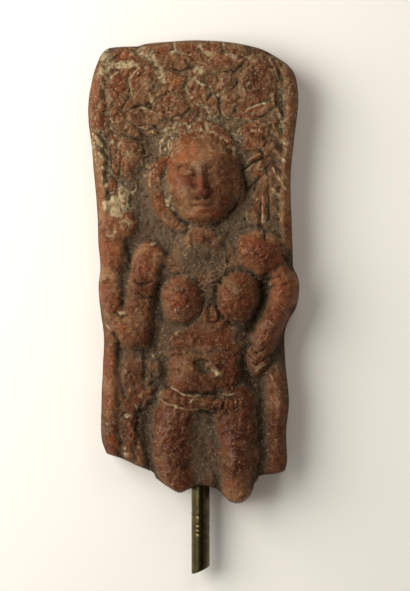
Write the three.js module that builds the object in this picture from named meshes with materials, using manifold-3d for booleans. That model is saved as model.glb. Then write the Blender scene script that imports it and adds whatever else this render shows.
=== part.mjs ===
// A small terracotta plaque, press-moulded from one sheet of clay, with a modern metal rod
// drilled and glued into its broken foot so that it can stand in a display block.
// The relief shows a standing woman under a flowering tree. Her legs are broken off at the
// knees, and the foot of the slab is broken with them.
// The plaque lies on its flat back: +X to the right, +Y towards the crown, +Z out of the relief.
import * as THREE from "three";
import { mergeVertices } from "three/addons/utils/BufferGeometryUtils.js";
import Module from "manifold-3d";

// Driving dimensions, in millimetres.
const plaqueHeight = 125; // from the lower broken leg to the crown
const plaqueWidth = 57; // from the left edge to the bent elbow on the right
const slabThickness = 11; // from the flat back to the ground of the relief
const reliefHeight = 8.6; // from the ground to the curve of the head
const edgeRound = 3; // how far in the worn front edge is rounded
const breakRound = 1.4; // the same at the foot, where the edge is a break
const backRound = 1.6; // the softer corner round the back
const rodDiameter = 5;
const rodExposed = 23.7; // the rod below the broken foot
const rodSocketDepth = 16; // the rod inside the clay
const glueGap = 0.3; // between the rod and its drilled socket
const rodCutSlope = 0.45; // the side cutter's slanting end, rise over run

// The relief is drawn 57 wide and 125 high, from the plaque's centre line and from the tip of the
// lower leg, with its highest form 8.6 above the ground. A plaque of another size stretches it.
const across = plaqueWidth / 57;
const along = plaqueHeight / 125;
const outward = reliefHeight / 8.6;

const terracotta = new THREE.MeshStandardMaterial({ color: 0x7d4632, roughness: 0.6, metalness: 0 });
const agedBrass = new THREE.MeshStandardMaterial({ color: 0x5f5236, roughness: 0.35, metalness: 1 });

// The outline, as drawn. Four stretches meet at the slab's corners.
const leftSide = [[-23.6, 13.3], [-24.9, 17.6], [-24.9, 26], [-24.6, 37], [-24.2, 44.7], [-25.1, 51.2],
  [-25.7, 58], [-25.2, 63.5], [-25.7, 70], [-26, 78], [-27.1, 91.5], [-28.5, 106], [-27.4, 114.7],
  [-25.3, 120.8]];
const crown = [[-25.3, 120.8], [-23.1, 122.8], [-18, 123.3], [-15, 123.4], [-12.5, 124.1], [-5, 124.7],
  [1.1, 125], [10.3, 124.4], [18.5, 122.5], [25.2, 118.6]];
const rightSide = [[24.6, 8.6], [25.2, 11.5], [24.9, 19.5], [25.6, 27.5], [24.5, 38.4], [24.4, 45.2],
  [25.6, 49.4], [27.6, 53], [28.5, 58], [28, 61.2], [26.8, 64], [26.6, 70], [25.9, 85.2], [26.8, 97],
  [28.1, 108], [27.5, 115], [25.2, 118.6]];
const brokenFoot = [[-23.6, 13.3], [-19.6, 12], [-13.6, 9.3], [-11, 8.2], [-9.7, 6.3], [-6.5, 4.2],
  [-3.8, 2.9], [-1.4, 3.8], [1.6, 4.8], [5.4, 4], [7.6, 2.7], [9.2, 0.8], [11.3, 0], [13.4, 0.5],
  [15.3, 2.4], [16.5, 5.6], [18.2, 7.4], [22, 7.9], [24.6, 8.6]];
const rodPlace = new THREE.Vector2(1.8, 4.8); // where the rod leaves the clay, between the legs

const side = (points) =>
  new THREE.CatmullRomCurve3(points.map(([u, v]) => new THREE.Vector3(u, v, 0)), false, "centripetal");
const left = side(leftSide);
const top = side(crown);
const right = side(rightSide);
const foot = side(brokenFoot);

// The relief is built of forms. Masses are set on the ground and run smoothly into each other.
// Details are raised on, or pressed into, whatever lies there.
function softMax(a, b, blend) {
  const near = Math.max(blend - Math.abs(a - b), 0) / blend;
  return Math.max(a, b) + near * near * blend / 4;
}

// How far a point is from the middle of a turned ellipse, 1 being its edge. taper widens the
// ellipse towards its upper end and narrows it towards its lower end.
function ellipse(u, v, halfWidth, halfLength, { turn = 0, taper = 0 } = {}) {
  const c = Math.cos(turn * Math.PI / 180);
  const s = Math.sin(turn * Math.PI / 180);
  return (x, y) => {
    const dv = (c * (y - v) - s * (x - u)) / halfLength;
    const width = halfWidth * (1 + taper * Math.min(1, Math.max(-1, dv)));
    return Math.hypot((c * (x - u) + s * (y - v)) / width, dv);
  };
}

// A mass on an ellipse. fullness sets how flat its top is.
function mound(u, v, halfWidth, halfLength, rise, { fullness = 2.2, blend = 1, ...shape } = {}) {
  const out = ellipse(u, v, halfWidth, halfLength, shape);
  return (z, x, y) => softMax(z, rise * (1 - out(x, y) ** fullness), blend);
}

// A detail raised on an ellipse.
function boss(u, v, halfWidth, halfLength, rise, { fullness = 2, ...shape } = {}) {
  const out = ellipse(u, v, halfWidth, halfLength, shape);
  return (z, x, y) => z + rise * Math.max(0, 1 - out(x, y) ** fullness);
}

// A detail pressed in on an ellipse.
function hollow(u, v, halfWidth, halfLength, depth, shape = {}) {
  const out = ellipse(u, v, halfWidth, halfLength, shape);
  return (z, x, y) => z - depth * Math.exp(-(out(x, y) ** 2));
}

// The nearest stretch of a path of [u, v, half width, rise]: how far out the point is, and the rise.
function nearest(path, x, y) {
  let found = { out: Infinity, rise: 0 };
  for (let i = 0; i + 1 < path.length; i++) {
    const [au, av, aw, ah] = path[i];
    const [bu, bv, bw, bh] = path[i + 1];
    const [du, dv] = [bu - au, bv - av];
    const t = Math.min(1, Math.max(0, ((x - au) * du + (y - av) * dv) / (du * du + dv * dv)));
    const out = Math.hypot(x - au - t * du, y - av - t * dv) / (aw + t * (bw - aw));
    if (out < found.out) found = { out, rise: ah + t * (bh - ah) };
  }
  return found;
}

// A rounded mass along a path, and a raised band along one.
function limb(path, { fullness = 2.2, blend = 1 } = {}) {
  return (z, x, y) => {
    const { out, rise } = nearest(path, x, y);
    return softMax(z, rise * (1 - out ** fullness), blend);
  };
}
function band(path, { fullness = 2 } = {}) {
  return (z, x, y) => {
    const { out, rise } = nearest(path, x, y);
    return z + rise * Math.max(0, 1 - out ** fullness);
  };
}

// The frame round the field: a rounded rim on the left and right, the ground of the tree's crown
// above, and beside the legs a border strip on either side with a climbing plant on the left.
function border() {
  return [
    mound(0, 117, 28, 21, 1.2, { fullness: 5 }),
    limb([[-25.6, 118, 2.8, 1.6], [-26, 92, 3, 1.8], [-23.8, 66, 2.8, 1.6], [-22.4, 46, 2.8, 1.7],
      [-22.3, 14, 2.9, 2]]),
    limb([[24.6, 112, 3.2, 1.8], [23.6, 90, 3.2, 1.7], [24, 66, 2.6, 1.4]]),
    limb([[20.5, 40, 3.6, 1.6], [21, 24, 4.2, 2], [21.6, 10, 3.8, 1.8]]),
    limb([[-17, 40, 3, 1.3], [-16.8, 14, 3, 1.3]]),
    ...[0, 1, 2].map((k) => boss(-16.4, 21 + 6.4 * k, 1.6, 3.4, 0.8, { turn: 24 })),
    hollow(-12.4, 28, 1.8, 20, 0.7),
    hollow(17.4, 22, 1.2, 18, 0.5),
  ];
}

// A leaf, bud or flower of the tree lies on the ground of its crown.
function leaf(u, v, halfLength, halfWidth, turn = 0, rise = 1.3) {
  return boss(u, v, halfLength, halfWidth, rise, { turn, fullness: 2.4 });
}

// The tree, from the blocks along the rim down to the foliage beside the head.
function canopy() {
  const rimBlocks = [[-11, 121], [-2, 121.2], [5.2, 121.2], [12, 120.6], [18.6, 118.6]];
  return [
    ...rimBlocks.map(([u, v]) => boss(u, v, 3.5, 2.1, 0.9, { fullness: 3 })),
    leaf(-4.6, 118.6, 8.2, 2.9, -4),
    leaf(8.3, 117.8, 5.4, 2.7, -8),
    leaf(-4.8, 112.8, 3, 2.6, 0, 1.6),
    leaf(7.8, 112.9, 3.3, 2.3, 0, 1.5),
    leaf(1.3, 110, 2.2, 3, 0, 1.5),
    leaf(5.6, 106.4, 1.8, 2.9, 0, 1.2),
    leaf(-4.9, 106.4, 4, 3, 10),
    leaf(-12.4, 104, 4.2, 2.4, -20),
    leaf(-14.4, 111.4, 2.4, 3.8, 6),
    leaf(-20.6, 110.6, 2.4, 3.2),
    leaf(17.6, 112.6, 5.2, 6.6, 0, 1.4),
    leaf(17.6, 104.6, 5.4, 2.2, 31, 1.2),
    leaf(11.4, 105.8, 2.4, 2.6, 0, 1),
    mound(-17.2, 93.6, 3.9, 5.6, 2.4),
    mound(16.4, 97.4, 4.6, 3.2, 2, { turn: 25 }),
    mound(16.8, 91, 3.2, 3.6, 2),
    limb([[18.6, 86, 2, 1.8], [18.8, 74, 2, 1.4]]),
    limb([[-21, 84, 2.4, 1.6], [-19.4, 78, 2.8, 2]]),
  ];
}

// The head is an egg with a cap of hair, a looped braid on one side and an ear pendant on the
// other. The face is a plain calm one, set out by the usual thirds between hairline and chin.
function head() {
  const [u, v] = [1.8, 86.6];
  const third = 6.1;
  const chin = v - 11.8;
  const noseBase = chin + third;
  const brow = noseBase + third;
  const eyeApart = 3.3;
  const egg = { taper: 0.16, fullness: 3 };
  const bothSides = (place) => [-1, 1].map(place);
  return [
    hollow(u, v, 15, 17, 0.6),
    mound(u, v + 3.4, 10.2, 9.6, 6.4, { fullness: 3.2 }),
    limb([[u - 9.4, v + 5.2, 1.9, 3.2], [u - 11.9, v + 1.6, 1.9, 3.2], [u - 12.1, v - 2.6, 1.9, 3.1],
      [u - 11.2, v - 6.3, 1.9, 3], [u - 8.9, v - 9.3, 1.9, 2.9], [u - 4.2, v - 12.4, 2, 2.8]],
    { fullness: 2.8 }),
    limb([[u + 9.8, v + 1, 2, 4], [u + 10, v - 5, 1.9, 3.2]], { fullness: 2.6 }),
    mound(u, v - 0.4, 8.3, 11.7, 8, { ...egg, blend: 0.6 }),
    band([[u - 8, v + 5, 2.4, 0.8], [u, v + 9.4, 2.4, 1], [u + 8, v + 5, 2.4, 0.8]]),
    ...bothSides((s) => hollow(u + s * eyeApart, brow - 1.6, 2.1, 1.4, 0.6)),
    ...bothSides((s) => boss(u + s * eyeApart, brow - 1.7, 1.9, 1, 0.45)),
    band([[u, brow, 1.1, 0.3], [u, noseBase + 0.8, 1.6, 1.3]]),
    boss(u, noseBase - 2, 2.4, 1.1, 0.5),
    boss(u, chin + 1.8, 2.6, 1.5, 0.5),
  ];
}

// Chest, breasts, waist and belly, with the collar's clasp, the long strand, the girdle and the navel.
function torso() {
  return [
    mound(3.6, 60, 15.4, 12.4, 4, { fullness: 3.4 }),
    limb([[1.8, 76, 5.4, 3.4], [2.4, 68, 7, 4]]),
    limb([[3.6, 54, 9, 3.8], [3.8, 43, 8.8, 4.4], [3.4, 36, 12, 5.4]], { fullness: 3 }),
    mound(3.4, 34, 11.8, 7, 6, { fullness: 3 }),
    boss(-3.8, 53.9, 6.1, 7, 4.6, { fullness: 2.4 }),
    boss(12, 54.7, 6.3, 7.2, 4.6, { fullness: 2.4 }),
    boss(1.3, 71, 3.9, 2.4, 1.2),
    band([[4.2, 66, 1.6, 0.7], [4.4, 58, 1.6, 0.9], [5.4, 52, 2.4, 1.1]]),
    hollow(-4, 39.8, 5, 0.9, 0.5, { turn: -6 }),
    hollow(4.2, 36.2, 3, 1.6, 1.8, { turn: -28 }),
    band([[-8.4, 30.6, 2.3, 0.8], [-3.6, 28.2, 2.3, 1], [3.6, 27.2, 2.3, 1.1], [9.6, 27.6, 2.3, 1],
      [14, 29.4, 2.3, 0.8]], { fullness: 4 }),
  ];
}

// Both legs, to the break. The gathered cloth between them lies lower.
function legs() {
  return [
    limb([[-3, 25, 8, 5.4], [-4.4, 17, 6.4, 6.2], [-4, 6.4, 5.2, 6]], { fullness: 2.8 }),
    limb([[10, 25, 7.2, 5.6], [11.2, 16, 6.2, 6.6], [11.4, 5.2, 5, 6.4]], { fullness: 2.8 }),
  ];
}

// Her right arm is bent up to hold the tree, and her left hand rests on the hip.
function arms() {
  return [
    limb([[-11.4, 68, 3.8, 4.6], [-12.6, 60, 3.9, 5], [-14.4, 51, 3.9, 5], [-15.6, 45.6, 4.2, 4.8]],
      { fullness: 2.6 }),
    limb([[-18, 44.8, 3.8, 4.4], [-21.4, 52, 3.2, 3.6], [-22.1, 64, 3.1, 3.2], [-20.4, 72.6, 3.3, 3.2]],
      { fullness: 2.6 }),
    mound(-18.2, 74.6, 2.8, 4, 3.4, { turn: -28 }),
    mound(18.3, 67.4, 7, 6.6, 5.8, { fullness: 2.6 }),
    limb([[20.2, 65, 5, 5], [24, 58.4, 4.1, 5.2]], { fullness: 2.6 }),
    limb([[24.2, 56.6, 3.9, 5.2], [22, 50, 3.8, 5], [18.6, 43.6, 3.6, 4.8]], { fullness: 2.6 }),
    mound(17.4, 39.6, 3.1, 5, 4.8, { turn: -8 }),
  ];
}

const forms = [...border(), ...canopy(), ...legs(), ...torso(), ...head(), ...arms()];
const reliefAt = (u, v) => forms.reduce((z, form) => form(z, u, v), 0);

// The same with its steps worn soft: the mean over a small patch.
const wear = 0.5;
function wornReliefAt(u, v) {
  let sum = 0;
  for (const du of [-wear, 0, wear]) {
    for (const dv of [-wear, 0, wear]) sum += reliefAt(u + du, v + dv);
  }
  return sum / 9;
}

// Stops between 0 and 1 that crowd together where the drawing holds the face and the figure.
function crowdedStops(count, middle, halfSpan, crowding) {
  const samples = 400;
  const running = [0];
  for (let i = 0; i < samples; i++) {
    const share = (i + 0.5) / samples;
    const density = 1 + crowding * Math.exp(-(((share - middle) / halfSpan) ** 4));
    running.push(running[i] + density);
  }
  const total = running[samples];
  return Array.from({ length: count + 1 }, (_, k) => {
    const wanted = (total * k) / count;
    let i = 0;
    while (i < samples - 1 && running[i + 1] < wanted) i++;
    return (i + (wanted - running[i]) / (running[i + 1] - running[i])) / samples;
  });
}

// The plaque's front is a grid stretched between its four sides: each point is what the two
// facing sides give, less what the corners give twice.
function frontGrid(columns, rows) {
  const sAt = crowdedStops(columns, 0.53, 0.24, 0.6);
  const tAt = crowdedStops(rows, 0.69, 0.1, 0.5);
  const corner = [foot.getPoint(0), foot.getPoint(1), top.getPoint(0), top.getPoint(1)];
  return tAt.map((t) => sAt.map((s) => {
    const [b, c, l, r] = [foot.getPointAt(s), top.getPointAt(s), left.getPointAt(t), right.getPointAt(t)];
    const mixed = (axis) => {
      const footCorners = (1 - s) * corner[0][axis] + s * corner[1][axis];
      const crownCorners = (1 - s) * corner[2][axis] + s * corner[3][axis];
      return (1 - t) * (b[axis] - footCorners) + t * (c[axis] - crownCorners) + (1 - s) * l[axis] + s * r[axis];
    };
    return [mixed("x"), mixed("y")];
  }));
}

// The slab: the relief grid, a wall round it and a flat back.
function plaqueGeometry() {
  const [columns, rows] = [44, 90];
  const grid = frontGrid(columns, rows);
  const rim = [];
  for (let i = 0; i < columns; i++) rim.push([0, i]);
  for (let j = 0; j < rows; j++) rim.push([j, columns]);
  for (let i = columns; i > 0; i--) rim.push([rows, i]);
  for (let j = rows; j > 0; j--) rim.push([j, 0]);
  const outline = rim.map(([j, i]) => grid[j][i]);
  const roundOf = rim.map(([j]) => (j === 0 ? breakRound : edgeRound));
  const rimLevel = slabThickness - edgeRound;

  const vertices = [];
  const triangles = [];
  grid.forEach((row) => row.forEach(([u, v]) => {
    const inward = Math.min(...outline.map(([a, b], k) =>
      Math.hypot((u - a) * across, (v - b) * along) / roundOf[k]));
    const rounding = Math.sqrt(1 - Math.max(0, 1 - inward) ** 2);
    const full = slabThickness + outward * wornReliefAt(u, v);
    vertices.push(u * across, v * along, rimLevel + (full - rimLevel) * rounding);
  }));
  const at = (j, i) => j * (columns + 1) + i;
  const level = (corner) => vertices[3 * corner + 2];
  for (let j = 0; j < rows; j++) {
    for (let i = 0; i < columns; i++) {
      const [a, b, c, d] = [at(j, i), at(j, i + 1), at(j + 1, i + 1), at(j + 1, i)];
      // Each quad is split along the diagonal that runs more level, so ridges stay whole.
      const alongAC = Math.abs(level(a) - level(c)) < Math.abs(level(b) - level(d));
      triangles.push(...(alongAC ? [a, b, c, a, c, d] : [a, b, d, b, c, d]));
    }
  }

  // Rings below the rim: the wall down to the back corner's start, then the back face's edge, drawn in.
  const ring = (level, inset) => {
    const first = vertices.length / 3;
    const narrower = 1 - 2 * inset / plaqueWidth;
    const shorter = 1 - 2 * inset / plaqueHeight;
    for (const [u, v] of outline) {
      const y = plaqueHeight / 2 + (v * along - plaqueHeight / 2) * shorter;
      vertices.push(u * across * narrower, y, level);
    }
    return first;
  };
  const firstRing = ring(backRound, 0);
  const backRing = ring(0, backRound);
  const count = rim.length;
  const join = (upper, lower) => {
    for (let k = 0; k < count; k++) {
      const next = (k + 1) % count;
      triangles.push(upper(k), lower(k), lower(next), upper(k), lower(next), upper(next));
    }
  };
  join((k) => at(...rim[k]), (k) => firstRing + k);
  join((k) => firstRing + k, (k) => backRing + k);
  const backOutline = Array.from({ length: count }, (_, k) =>
    new THREE.Vector2(vertices[3 * (backRing + k)], vertices[3 * (backRing + k) + 1]));
  for (const [a, b, c] of THREE.ShapeUtils.triangulateShape(backOutline, [])) {
    triangles.push(backRing + a, backRing + c, backRing + b);
  }
  const geometry = new THREE.BufferGeometry();
  geometry.setAttribute("position", new THREE.Float32BufferAttribute(vertices, 3));
  geometry.setIndex(triangles);
  return geometry;
}

// The rod lies along Y. It ends inside the clay, and its free end is cut on the slant.
const rodAxisHeight = 5; // above the back
const rodMouth = rodPlace.y * along;
const rodInnerEnd = rodMouth + rodSocketDepth;
const rodFreeEnd = rodMouth - rodExposed;
function rodGeometry(radius, innerEnd, freeEnd, slope, sides) {
  const length = innerEnd - freeEnd;
  const geometry = new THREE.CylinderGeometry(radius, radius, length, sides, 1);
  const position = geometry.getAttribute("position");
  for (let k = 0; k < position.count; k++) {
    const atFreeEnd = position.getY(k) < 0;
    if (atFreeEnd) position.setY(k, position.getY(k) + slope * position.getX(k));
  }
  geometry.translate(rodPlace.x * across, freeEnd + length / 2, rodAxisHeight);
  return geometry;
}

const wasm = await Module();
wasm.setup();

function solid(geometry) {
  const bare = geometry.clone();
  bare.deleteAttribute("normal");
  bare.deleteAttribute("uv");
  const merged = mergeVertices(bare, 1e-4);
  return new wasm.Manifold(new wasm.Mesh({
    numProp: 3,
    vertProperties: new Float32Array(merged.getAttribute("position").array),
    triVerts: new Uint32Array(merged.index.array),
  }));
}

function geometryOf(manifold) {
  const mesh = manifold.getMesh();
  const geometry = new THREE.BufferGeometry();
  geometry.setAttribute("position", new THREE.BufferAttribute(mesh.vertProperties, 3));
  geometry.setIndex(new THREE.BufferAttribute(mesh.triVerts, 1));
  geometry.computeVertexNormals();
  return geometry;
}

function namedMesh(name, geometry, material) {
  const mesh = new THREE.Mesh(geometry, material);
  mesh.name = name;
  return mesh;
}

// The socket is the rod's own shape, wider and deeper by the glue's gap and open at the foot.
const rodSides = 24;
const socket = rodGeometry(rodDiameter / 2 + glueGap, rodInnerEnd + glueGap, rodFreeEnd, 0, rodSides);
const plaque = geometryOf(solid(plaqueGeometry()).subtract(solid(socket)));
const rod = rodGeometry(rodDiameter / 2, rodInnerEnd, rodFreeEnd, rodCutSlope, rodSides);

const object = new THREE.Group();
object.add(namedMesh("plaque", plaque, terracotta), namedMesh("mounting_rod", rod, agedBrass));

// The origin is the middle of the underside's box.
const box = new THREE.Box3().setFromObject(object);
object.position.set(-(box.min.x + box.max.x) / 2, -(box.min.y + box.max.y) / 2, -box.min.z);
object.updateMatrixWorld(true);

export default object;
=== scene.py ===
import bpy
import numpy as np
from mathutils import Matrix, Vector


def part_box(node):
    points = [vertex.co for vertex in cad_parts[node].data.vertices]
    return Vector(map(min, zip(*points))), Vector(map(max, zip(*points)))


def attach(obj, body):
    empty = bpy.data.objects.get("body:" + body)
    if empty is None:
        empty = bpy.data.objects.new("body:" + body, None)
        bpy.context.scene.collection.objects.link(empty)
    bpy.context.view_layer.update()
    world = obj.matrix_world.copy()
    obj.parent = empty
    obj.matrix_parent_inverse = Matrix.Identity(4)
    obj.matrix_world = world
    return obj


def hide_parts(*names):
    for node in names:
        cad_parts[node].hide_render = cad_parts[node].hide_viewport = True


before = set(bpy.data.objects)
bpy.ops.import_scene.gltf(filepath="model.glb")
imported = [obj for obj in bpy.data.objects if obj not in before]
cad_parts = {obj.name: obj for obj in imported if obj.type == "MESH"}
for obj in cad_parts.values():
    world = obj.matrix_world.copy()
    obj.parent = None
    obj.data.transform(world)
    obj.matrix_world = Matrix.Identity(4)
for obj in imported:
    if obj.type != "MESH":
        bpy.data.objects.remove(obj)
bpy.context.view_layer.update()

# The plaque: a slab of red clay pressed by hand into a carved mould, then fired, and broken off at the
# knees. Its whole front is one relief. It is drawn here in units of 0.27 mm, with x to the right and y
# down, and stretched to the CAD plaque's own box. Thicknesses and heights are in mm.
unit = 0.27233
leg_tip = 501.0
centre_line = 194.0
half_size = np.array([104.7, 229.5])
slab = 11.0
edge_round = 3.0
break_round = 1.3
rim_level = slab - edge_round

left_side = [
    (107.3, 452.2), (102.6, 436), (102.6, 405), (103.7, 365), (105.1, 337), (101.8, 313), (99.6, 288),
    (101.5, 267.8), (99.6, 244), (98.5, 215), (94.5, 165), (89.4, 112), (93.4, 80), (101.1, 57.4),
]
crown_side = [
    (101.1, 57.4), (109.2, 50), (128, 48.2), (139, 47.9), (148, 45.3), (175.6, 43), (198, 42),
    (231.8, 44.2), (262, 51.2), (286.5, 65.5),
]
right_side = [
    (284.3, 469.4), (286.5, 458.8), (285.4, 429.4), (288, 400), (284, 360), (283.6, 335), (288, 319.6),
    (295.3, 306.4), (298.6, 288), (296.8, 276.3), (292.4, 266), (291.7, 244), (289.1, 188.2),
    (292.4, 144.8), (297.2, 104.4), (295, 78.7), (286.5, 65.5),
]
foot_side = [
    (107.3, 452.2), (122, 457), (144, 466.8), (153.6, 470.9), (158.4, 477.9), (170, 485.6), (180, 490.3),
    (188.9, 487), (199.9, 483.4), (213.8, 486.3), (221.9, 491), (227.8, 498), (235.5, 501), (243.2, 499.2),
    (250.2, 492.2), (254.6, 480.4), (260.8, 473.8), (274.8, 472), (284.3, 469.4),
]


def smooth_line(points, steps=8):
    """A smooth line through points and any values they carry: between two points runs the cubic that
    leaves each one parallel to the chord of its neighbours."""
    line = np.array(points, float)
    line = np.vstack([2 * line[0] - line[1], line, 2 * line[-1] - line[-2]])
    t = np.linspace(0, 1, steps, endpoint=False)[:, None]
    spans = []
    for a, b, c, d in zip(line, line[1:], line[2:], line[3:]):
        bend = (2 * a - 5 * b + 4 * c - d) * t**2
        twist = (3 * b - a - 3 * c + d) * t**3
        spans.append(0.5 * (2 * b + (c - a) * t + bend + twist))
    return np.vstack(spans + [line[-2:-1]])


def even_stops(points, shares):
    """Places on a smooth line at given shares of its length, measured along its short straight pieces."""
    line = smooth_line(points)
    length = np.concatenate([[0], np.cumsum(np.hypot(*np.diff(line, axis=0).T))])
    return np.stack([np.interp(shares * length[-1], length, line[:, k]) for k in (0, 1)], axis=-1)


def turned_down_shares(count, length, turn_low, turn_high):
    """Shares of a length whose two ends turn down over quarter circles of the given radii: stops are
    even along the section, so they crowd where the surface turns."""
    quarter = np.pi / 2
    flat = length - turn_low - turn_high
    along = np.linspace(0, quarter * turn_low + flat + quarter * turn_high, count + 1)
    low = turn_low * (1 - np.cos(np.minimum(along / turn_low, quarter)))
    middle = np.clip(along - quarter * turn_low, 0, flat)
    high = turn_high * np.sin(np.clip((along - quarter * turn_low - flat) / turn_high, 0, quarter))
    return (low + middle + high) / length


columns, rows = 190, 415
front_width, front_height = 54.0, 122.0
across = turned_down_shares(columns, front_width, edge_round, edge_round)
upward = turned_down_shares(rows, front_height, break_round, edge_round)
foot = even_stops(foot_side, across)[None, :, :]
crown = even_stops(crown_side, across)[None, :, :]
left = even_stops(left_side, upward)[:, None, :]
right = even_stops(right_side, upward)[:, None, :]
to_right = across[None, :, None]
to_crown = upward[:, None, None]
# Each point of the front is what the two facing sides give, less what the four corners give twice.
foot_corners = (1 - to_right) * foot[:, :1] + to_right * foot[:, -1:]
crown_corners = (1 - to_right) * crown[:, :1] + to_right * crown[:, -1:]
corners = (1 - to_crown) * foot_corners + to_crown * crown_corners
between_ends = (1 - to_crown) * foot + to_crown * crown
drawing = between_ends + (1 - to_right) * left + to_right * right - corners
X, Y = drawing[..., 0], drawing[..., 1]


def lumps(x, y, size, seed):
    """Smooth random lumps about size units across, from -1 to 1: random heights on a square lattice
    that repeats after 600 units, with an S-shaped blend between the four nearest."""
    count = int(600 / size) + 2
    lattice = np.random.default_rng(seed).uniform(-1, 1, (count, count))
    column, row = np.floor(x / size).astype(int), np.floor(y / size).astype(int)
    right, down = x / size - column, y / size - row
    right, down = right * right * (3 - 2 * right), down * down * (3 - 2 * down)
    column, next_column = column % count, (column + 1) % count
    row, next_row = row % count, (row + 1) % count
    upper = lattice[row, column] * (1 - right) + lattice[row, next_column] * right
    lower = lattice[next_row, column] * (1 - right) + lattice[next_row, next_column] * right
    return upper * (1 - down) + lower * down


def blurred(field, reach):
    """A field of the front grid with each value replaced by the bell-weighted mean of its neighbours."""
    taps = np.arange(-int(3 * reach), int(3 * reach) + 1)
    weights = np.exp(-0.5 * (taps / reach) ** 2)
    weights /= weights.sum()
    for axis in (0, 1):
        pad = [(0, 0), (0, 0)]
        pad[axis] = (len(taps) // 2, len(taps) // 2)
        padded = np.pad(field, pad, mode="edge")
        size = field.shape[axis]
        field = sum(w * np.take(padded, np.arange(k, k + size), axis=axis) for k, w in enumerate(weights))
    return field


# The hand-cut mould has no true line in it, so every form is drawn on a slightly wandering copy of
# the drawing.
wx = X + 1.1 * lumps(X, Y, 17, 1) + 1.2 * lumps(X, Y, 7, 2)
wy = Y + 1.1 * lumps(X, Y, 17, 3) + 1.2 * lumps(X, Y, 7, 4)


def spot(cx, cy, long, wide, turn=0.0, taper=0.0, point=0.0, x=wx, y=wy):
    """How far out a place lies on a turned oval, 0 at the middle and 1 at the edge. taper widens its far
    end, and point draws both ends in to tips."""
    cosine, sine = np.cos(np.radians(turn)), np.sin(np.radians(turn))
    along = (cosine * (x - cx) + sine * (y - cy)) / long
    aside = (cosine * (y - cy) - sine * (x - cx)) / wide
    inside = np.clip(along, -1, 1)
    aside = aside / (1 + taper * inside) / (1 - point * inside**2)
    return np.hypot(along, aside)


far = 1e6


def follow(points, x=wx, y=wy, reach=30):
    """For places near a smooth line: the distance to it, how far along it they lie, and the values
    that its points carry. Elsewhere the distance is far."""
    line = smooth_line(points, 5)
    away = np.full(x.shape, far)
    run = np.zeros(x.shape)
    carried = np.zeros(line.shape[1:] + x.shape)
    near = np.where((x > line[:, 0].min() - reach) & (x < line[:, 0].max() + reach)
                    & (y > line[:, 1].min() - reach) & (y < line[:, 1].max() + reach))
    px, py = x[near], y[near]
    best, best_run = np.full(px.shape, far), np.zeros(px.shape)
    best_values = np.zeros((line.shape[1], len(px)))
    covered = 0.0
    for start, end in zip(line, line[1:]):
        step = end - start
        length = np.hypot(step[0], step[1]) + 1e-9
        share = np.clip(((px - start[0]) * step[0] + (py - start[1]) * step[1]) / length**2, 0, 1)
        distance = np.hypot(px - start[0] - share * step[0], py - start[1] - share * step[1])
        nearer = distance < best
        best = np.where(nearer, distance, best)
        best_run = np.where(nearer, covered + share * length, best_run)
        best_values = np.where(nearer, start[:, None] + share * step[:, None], best_values)
        covered += length
    away[near], run[near] = best, best_run
    for k in range(line.shape[1]):
        carried[k][near] = best_values[k]
    return away, run, carried


def melt(height, form, blend):
    """The higher of two surfaces, with their meeting line filled smoothly over the blend height."""
    near = np.clip(blend - np.abs(height - form), 0, None) / blend
    return np.maximum(height, form) + near * near * blend / 4


def mass(out, rise, fullness):
    """A rounded mass: its height falls from the middle with the distance out to a power."""
    return rise * (1 - out**fullness)


def dome(out, fullness):
    """A raised detail, 1 at its middle and 0 from its edge outwards."""
    return np.clip(1 - out**fullness, 0, None)


def limb(points, fullness):
    """A rounded mass along a line of (x, y, half width, height). Far from it, it lies 9 mm down."""
    away, _, values = follow(points)
    return values[3] * (1 - (away / np.maximum(values[2], 1e-3)) ** fullness) - 9 * (away == far)


def stroke(points, width, x=wx, y=wy):
    """A fine line, 1 on it and falling off as a bell of the given half width."""
    away, _, _ = follow(points, x, y, reach=4 * width + 4)
    return np.exp(-((away / width) ** 2))


def build_up(height, forms):
    """A surface with rounded masses melted into it in turn, each as its shape, fullness and blend
    height. A shape is an oval's middle, half sizes, turn, any taper and rise, or a limb's points."""
    for shape, fullness, blend in forms:
        if isinstance(shape, list):
            form = limb(shape, fullness)
        else:
            *oval, rise = shape
            form = mass(spot(*oval), rise, fullness)
        height = melt(height, form, blend)
    return height


# The frame of the field: the raised ground of the tree's crown, a rounded rim on both sides, and a
# border strip on either side of the legs with a climbing plant on the left one.
height = build_up(np.zeros(X.shape), [
    ((188, 77, 88, 35, 0, 1.5), 5, 0.8), ((120, 122, 62, 22, 86, 1.4), 5, 0.8),
    ((259, 122, 66, 21, 94, 1.4), 5, 0.8), ((114, 205, 34, 15, 84, 1.2), 5, 0.8),
    ((264, 205, 38, 12, 92, 0.9), 5, 0.8),
    ([(101, 62, 10, 1.7), (98, 100, 10, 2.1), (98, 150, 8.5, 1.9), (103, 200, 8, 1.8),
      (106, 245, 9, 2.2), (108, 300, 9, 2), (110.5, 340, 9.5, 2), (111, 370, 10, 2.3),
      (111.5, 452, 10.5, 2.4)], 3.4, 1),
    ([(288, 72, 8, 1.6), (291, 105, 8, 1.9), (288, 160, 7.5, 1.9), (286, 215, 7.5, 1.8),
      (288, 245, 8, 1.6)], 3, 1),
    ([(273, 372, 12, 1.6), (275, 400, 13, 2), (275, 440, 13, 1.8), (275, 470, 13, 1.7)], 2, 1),
    ([(133, 352, 12, 1.5), (134, 378, 13, 1.7), (139, 393, 16, 1.7), (130, 408, 9.5, 1.4),
      (131, 430, 9, 1.5), (136, 458, 13, 1.3)], 5, 0.9), ((154, 372, 13, 24, 0, 1), 3, 0.6),
    ((121, 398, 5, 56, 0, 1.5), 4, 0.5), ((203, 440, 22, 62, 0, 2.3), 4, 1),
])
height -= 0.3 * stroke([(149, 402), (149, 430), (150, 465)], 5)
height -= 0.4 * stroke([(261, 378), (262, 420), (262, 472)], 5)
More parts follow.
